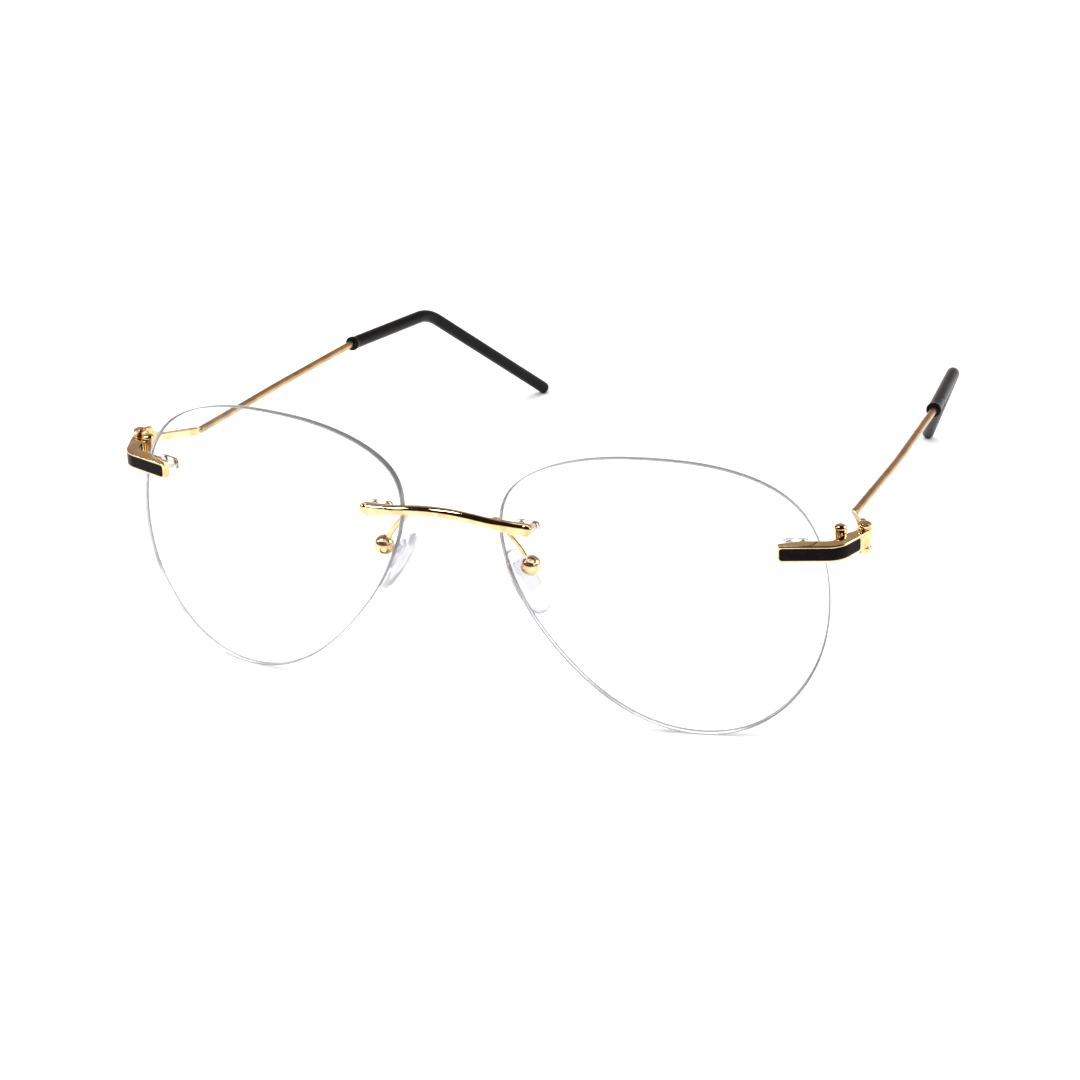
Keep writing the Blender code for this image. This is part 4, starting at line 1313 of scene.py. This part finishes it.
class EYEWEAR_OT_temples(bpy.types.Operator):
    """Draw the temple wires and mould the black silicone ear tips."""

    bl_idname = "eyewear.temples"
    bl_label = "Temples"

    def wire(self, radius):
        """A round-ended wire that runs on inside the ear tip."""
        tip = tip_path()
        inside = path_length(tip) * WIRE_INSIDE_TIP
        path = relaxed(even_path(wire_path(), 1.6))[:-1]
        path += [point_along(tip, s) for s in np.arange(0.0, inside, 1.2)]
        path, radii = domed(path, [radius] * len(path))
        return swept_mesh("wire", path, [ring_section(r, 26) for r in radii])

    def ear_tip(self, radius, wire_radius):
        """A slim round tube with a rolled lip at its mouth."""
        path = even_path(tip_path(), 0.9)
        ahead = (path[-1] - path[-2]).normalized()
        path.append(path[-1] + ahead * radius * 0.95)
        path, radii = domed(path, [radius] * len(path), 7)
        start = next(i for i, r in enumerate(radii) if r >= radius)
        path, radii = path[start:], radii[start:]
        back = (path[1] - path[0]).normalized()
        mouth = at_front([TIP_START])[0]
        kept = [i for i, p in enumerate(path) if (p - mouth).dot(back) > 1.5]
        path = [mouth + back * distance for distance, _ in TIP_LIP] + [path[i] for i in kept]
        radii = [radius * swell for _, swell in TIP_LIP] + [radii[i] for i in kept]
        tube = swept_mesh("ear_tip", path, [ring_section(r, 32) for r in radii])
        tip = tip_path()
        inside = path_length(tip) * WIRE_INSIDE_TIP + 0.4
        route = [tip[0] - back * 1.2]
        route += [point_along(tip, s) for s in np.arange(0.0, inside, 1.2)]
        bore = swept_mesh("bore", route, [ring_section(wire_radius + 0.04, 24)] * len(route))
        return sculpt(tube, cuts=[bore])

    def execute(self, context):
        sizes = context.scene.eyewear_temple
        wire_radius, tip_radius = sizes.wire_radius / MM, sizes.tip_radius / MM
        add_pair("temple_rod", self.wire(wire_radius), finish("drawn_gold"), "temple_",
                 "temple_wire")
        add_pair("ear_tip", self.ear_tip(tip_radius, wire_radius), finish("satin_silicone"),
                 "temple_", "temple_tip")
        return {"FINISHED"}


# ---------------------------------------------------------------- nose pads


class EYEWEAR_OT_pad_arms(bpy.types.Operator):
    """Bend the pad arms and turn the pad boxes and their screws."""

    bl_idname = "eyewear.pad_arms"
    bl_label = "Pad Arms"

    def arm(self, radius, box_radius, bridge_radius):
        """A wire from under the bridge, round the lens edge, to the pad box."""
        lean = math.radians(45.0)
        under = Vector((0.0, math.sin(lean), -math.cos(lean)))
        root = bridge_point(PAD_ARM_X) + under * (bridge_radius + 0.2 + GAP)
        bends = at_front(PAD_ARM_BENDS)
        last = PAD_PIVOT + (bends[-1] - PAD_PIVOT).normalized() * (box_radius + GAP)
        path = relaxed(even_path(rounded_path([root, *bends, last], 0.9, 6), 0.25), 6)
        return swept_mesh("pad_arm", path, [ring_section(radius, 24)] * len(path),
                          up=(0.0, 1.0, 0.0))

    def box(self, radius):
        """A turned ball, slotted for the pad's eye and bored for its screw."""
        outline = [(max(0.02, radius * math.cos(math.radians(a))),
                    radius * math.sin(math.radians(a))) for a in range(-90, 91, 9)]
        ball = turned_mesh("pad_box", outline, pad_place(), 48)
        half = PAD_SLOT / 2.0
        slot = block_mesh("slot", (-3.0, -half, -0.85), (3.0, half, 3.0), pad_place())
        bore = rod_mesh("bore", -3.0, 3.0, PAD_SCREW_BORE, across_pad())
        seat = rod_mesh("seat", PAD_SCREW_SEAT - GAP, 3.0, 2.0 * PAD_SCREW_RADIUS, across_pad())
        return sculpt(ball, cuts=[slot, bore, seat], bevel=0.05, bevel_angle=45.0)

    def screw(self):
        """A small slotted screw across the pad box."""
        low, high = PAD_SCREW_LENGTH
        shank, seat = PAD_SCREW_RADIUS, PAD_SCREW_SEAT
        outline = [(0.02, low), (shank - 0.06, low), (shank, low + 0.07), (shank, seat),
                   (0.66, seat), (0.7, seat + 0.05), (0.7, 1.28), (0.6, 1.38), (0.02, high)]
        body = turned_mesh("pad_screw", outline, across_pad(), 32)
        slot = block_mesh("slot", (-1.0, -0.09, 1.26), (1.0, 0.09, 2.0), across_pad())
        return sculpt(body, cuts=[slot])

    def execute(self, context):
        sizes = context.scene.eyewear_metal
        gold = finish("polished_gold")
        arm = self.arm(sizes.pad_arm_radius / MM, sizes.pad_box_radius / MM,
                       sizes.bridge_radius / MM)
        add_pair("pad_stem", arm, gold, "front", "pad_arm")
        add_pair("pad_ball", self.box(sizes.pad_box_radius / MM), gold, "front",
                 "pad_box")
        add_pair("pad_bolt", self.screw(), gold, "front", "pad_screw")
        return {"FINISHED"}


class EYEWEAR_OT_nose_pads(bpy.types.Operator):
    """Mould the clear nose pads and their inserts."""

    bl_idname = "eyewear.nose_pads"
    bl_label = "Nose Pads"

    def pad(self, sizes):
        """A drop-shaped cushion of silicone, crowned towards the nose, recessed behind."""
        length, width, depth = (s / MM for s in (sizes.length, sizes.width, sizes.depth))
        cx, cy, cz = PAD_CENTRE
        place = pad_place()
        count = 72

        def build(bm):
            rings = []
            for k in range(1, 16):
                turn = math.pi * (k / 16.0)
                spread = math.sin(turn) ** 0.62
                level = -math.cos(turn)
                height = cz + level * depth / 2.0 * (1.0 if level > 0.0 else 0.82)
                ring = []
                for i in range(count):
                    a = math.tau * i / count
                    c, s = math.cos(a), math.sin(a)
                    x = math.copysign(abs(c) ** 0.82, c) * length / 2.0
                    taper = 1.0 + 0.12 * (x / (length / 2.0))
                    y = math.copysign(abs(s) ** 0.86, s) * width / 2.0 * taper
                    ring.append(bm.verts.new(place @ Vector(
                        (cx + x * spread, cy + y * spread, height))))
                rings.append(ring)
            skin_rings(bm, rings)

        solid = mesh_from("nose_pad", build)
        half_l, half_w = PAD_PLATE[0] / 2.0 + GAP, PAD_PLATE[1] / 2.0 + GAP
        middle = cx / 2.0
        outline = rounded_outline([(middle - half_l, -half_w), (middle + half_l, -half_w),
                                   (middle + half_l, half_w), (middle - half_l, half_w)], 0.8, 4)
        back = cz - PAD_RECESS_BACK
        recess = plate_mesh("recess", outline, 0.0, back + PAD_PLATE[2] + 2.0 * GAP, place)
        return sculpt(solid, cuts=[recess])

    def insert(self):
        """The stiff clear plate with a bored eye on the pad screw."""
        length, width, depth = PAD_PLATE
        place = pad_place()
        low = PAD_CENTRE[2] - PAD_RECESS_BACK + GAP
        middle = PAD_CENTRE[0] / 2.0
        half_l, half_w = length / 2.0, width / 2.0
        outline = rounded_outline([(middle - half_l, -half_w), (middle + half_l, -half_w),
                                   (middle + half_l, half_w), (middle - half_l, half_w)], 0.75, 4)
        plate = plate_mesh("insert", outline, low, low + depth, place)
        stem = block_mesh("stem", (-0.6, -0.49, 0.0), (0.6, 0.49, low + depth / 2.0), place)
        eye = rod_mesh("eye", -0.5, 0.5, 0.75, across_pad(), 0.1)
        bore = rod_mesh("bore", -2.0, 2.0, PAD_SCREW_BORE, across_pad())
        return sculpt(plate, [stem, eye], [bore])

    def execute(self, context):
        silicone = finish("moulded_silicone")
        add_pair("silicone_pad", self.pad(context.scene.eyewear_pad), silicone, "nose_pad_",
                 "nose_pad")
        add_pair("pad_core", self.insert(), silicone, "nose_pad_",
                 "pad_insert")
        return {"FINISHED"}


# ---------------------------------------------------------------- studio


class EYEWEAR_OT_studio(bpy.types.Operator):
    """Lay the pale floor, hang the soft lights and set up the camera."""

    bl_idname = "eyewear.studio"
    bl_label = "Studio"

    floor_radius = 6.0
    floor_rings = 24
    floor_sides = 64
    camera_roll = math.radians(-1.65)
    camera_target = (15.61, 33.17)

    def floor(self):
        """A wide disc, finely ringed near the glasses."""
        sides = self.floor_sides

        def build(bm):
            rings = []
            for k in range(1, self.floor_rings + 1):
                radius = self.floor_radius / MM * (k / self.floor_rings) ** 2
                turns = [math.tau * i / sides for i in range(sides)]
                rings.append([bm.verts.new((radius * math.cos(turn), radius * math.sin(turn), 0.0))
                              for turn in turns])
            for near, far in zip(rings, rings[1:]):
                for i in range(sides):
                    j = (i + 1) % sides
                    bm.faces.new((near[i], far[i], far[j], near[j]))
            bm.faces.new(rings[0])

        mesh = mesh_from("floor", build)
        mesh.materials.append(finish("floor_paper"))
        floor = bpy.data.objects.new("floor", mesh)
        bpy.context.scene.collection.objects.link(floor)

    def area_light(self, name, place, aim, size, power, mirrored_in_metal):
        """A rectangular soft light that faces a point."""
        light = bpy.data.lights.new(name, "AREA")
        light.shape = "RECTANGLE"
        light.size, light.size_y = size
        light.energy = power
        lamp = bpy.data.objects.new(name, light)
        lamp.location = place
        lamp.rotation_euler = (Vector(aim) - Vector(place)).to_track_quat("-Z", "Y").to_euler()
        lamp.visible_glossy = mirrored_in_metal
        lamp.visible_camera = False
        bpy.context.scene.collection.objects.link(lamp)

    def world(self):
        """Pale where the camera looks past the floor or through clear plastic. Metal mirrors a
        dim room with a mid-toned wall behind and a bright low band all round."""
        world = bpy.data.worlds.new("studio_room")
        bpy.context.scene.world = world
        world.use_nodes = True
        tree = world.node_tree
        direction = tree.nodes.new("ShaderNodeTexCoord").outputs["Generated"]
        parts = add_node(tree, "ShaderNodeSeparateXYZ", None, {"Vector": direction}).outputs
        depth, height = parts["Y"], parts["Z"]
        band = span(tree, height, 0.05, 0.13, 1.0, 0.0)
        behind = maths(tree, "MULTIPLY", span(tree, depth, 0.1, 0.5),
                       span(tree, height, 0.75, 0.9, 1.0, 0.0))
        room = blend_colours(tree, behind, (0.015, 0.013, 0.012, 1.0), (0.4, 0.35, 0.31, 1.0))
        room = blend_colours(tree, band, room, (0.95, 0.93, 0.9, 1.0))
        rays = tree.nodes.new("ShaderNodeLightPath")
        unmirrored = maths(tree, "LESS_THAN", rays.outputs["Glossy Depth"], 0.5)
        through = maths(tree, "MULTIPLY", rays.outputs["Is Transmission Ray"], unmirrored)
        seen = maths(tree, "MAXIMUM", rays.outputs["Is Camera Ray"], through)
        colour = blend_colours(tree, seen, room, (1.0, 1.0, 1.0, 1.0))
        tree.links.new(colour, tree.nodes["Background"].inputs["Color"])

    def camera(self, studio):
        """The camera looks at the bridge from ahead and above, with a slight roll."""
        az, el, roll = studio.azimuth, studio.elevation, self.camera_roll
        back = Vector((math.sin(az) * math.cos(el), -math.cos(az) * math.cos(el), math.sin(el)))
        right = Vector((math.cos(az), math.sin(az), 0.0))
        up = back.cross(right)
        across = right * math.cos(roll) + up * math.sin(roll)
        upward = up * math.cos(roll) - right * math.sin(roll)
        across_mm, height_mm = self.camera_target
        target = Vector((across_mm, FRONT_Y, height_mm)) * MM
        camera = bpy.data.objects.new("camera", bpy.data.cameras.new("camera"))
        camera.data.lens = studio.focal_length
        camera.data.sensor_width = 36.0
        camera.data.clip_start = 0.01
        camera.data.clip_end = 20.0
        turn = Matrix((across, upward, back)).transposed().to_4x4()
        camera.matrix_world = Matrix.Translation(target + back * studio.distance) @ turn
        bpy.context.scene.collection.objects.link(camera)
        bpy.context.scene.camera = camera

    def execute(self, context):
        studio = context.scene.eyewear_studio
        self.floor()
        self.area_light("overhead_soft", (0.0, 0.1, 1.5), (0.0, 0.0, 0.0), (2.6, 2.6),
                        studio.key_power, False)
        self.area_light("mirror_panel", (-0.24, -0.30, 0.75), (0.0, -0.07, 0.035),
                        (0.11, 0.35), studio.panel_power, True)
        self.area_light("left_panel", (-0.72, -0.33, 0.52), (-0.01, -0.07, 0.036),
                        (0.15, 0.22), studio.panel_power * 1.6, True)
        self.area_light("side_panel", (0.9, 0.45, 0.5), (0.0, 0.0, 0.03),
                        (0.5, 0.4), studio.panel_power * 2.0, True)
        self.world()
        self.camera(studio)
        context.scene.view_settings.view_transform = "Standard"
        return {"FINISHED"}


# ---------------------------------------------------------------- panel and run


BUILD_ORDER = (
    EYEWEAR_OT_lenses, EYEWEAR_OT_sleeves, EYEWEAR_OT_bridge, EYEWEAR_OT_end_pieces,
    EYEWEAR_OT_hinges, EYEWEAR_OT_temples, EYEWEAR_OT_pad_arms, EYEWEAR_OT_nose_pads,
    EYEWEAR_OT_studio,
)
SETTINGS = {
    "eyewear_lens": LensProperties, "eyewear_metal": MetalProperties,
    "eyewear_temple": TempleProperties, "eyewear_pad": PadProperties,
    "eyewear_studio": StudioProperties,
}


class EYEWEAR_PT_builder(bpy.types.Panel):
    """Lists the settings and the build steps of the eyeglasses."""

    bl_idname = "EYEWEAR_PT_builder"
    bl_label = "Rimless Eyeglasses"
    bl_space_type = "VIEW_3D"
    bl_region_type = "UI"
    bl_category = "Eyewear"

    def draw(self, context):
        for name, group in SETTINGS.items():
            box = self.layout.box()
            box.label(text=group.__doc__)
            for label in group.__annotations__:
                box.prop(getattr(context.scene, name), label)
        for step in BUILD_ORDER:
            self.layout.operator(step.bl_idname)


def register():
    for group in SETTINGS.values():
        bpy.utils.register_class(group)
    for step in (*BUILD_ORDER, EYEWEAR_PT_builder):
        bpy.utils.register_class(step)
    for name, group in SETTINGS.items():
        setattr(bpy.types.Scene, name, PointerProperty(type=group))


def unregister():
    for name in SETTINGS:
        delattr(bpy.types.Scene, name)
    for made in (EYEWEAR_PT_builder, *reversed(BUILD_ORDER), *SETTINGS.values()):
        bpy.utils.unregister_class(made)


def main():
    register()
    bpy.ops.eyewear.lenses()
    bpy.ops.eyewear.sleeves()
    bpy.ops.eyewear.bridge()
    bpy.ops.eyewear.end_pieces()
    bpy.ops.eyewear.hinges()
    bpy.ops.eyewear.temples()
    bpy.ops.eyewear.pad_arms()
    bpy.ops.eyewear.nose_pads()
    bpy.ops.eyewear.studio()


if __name__ == "__main__":
    main()
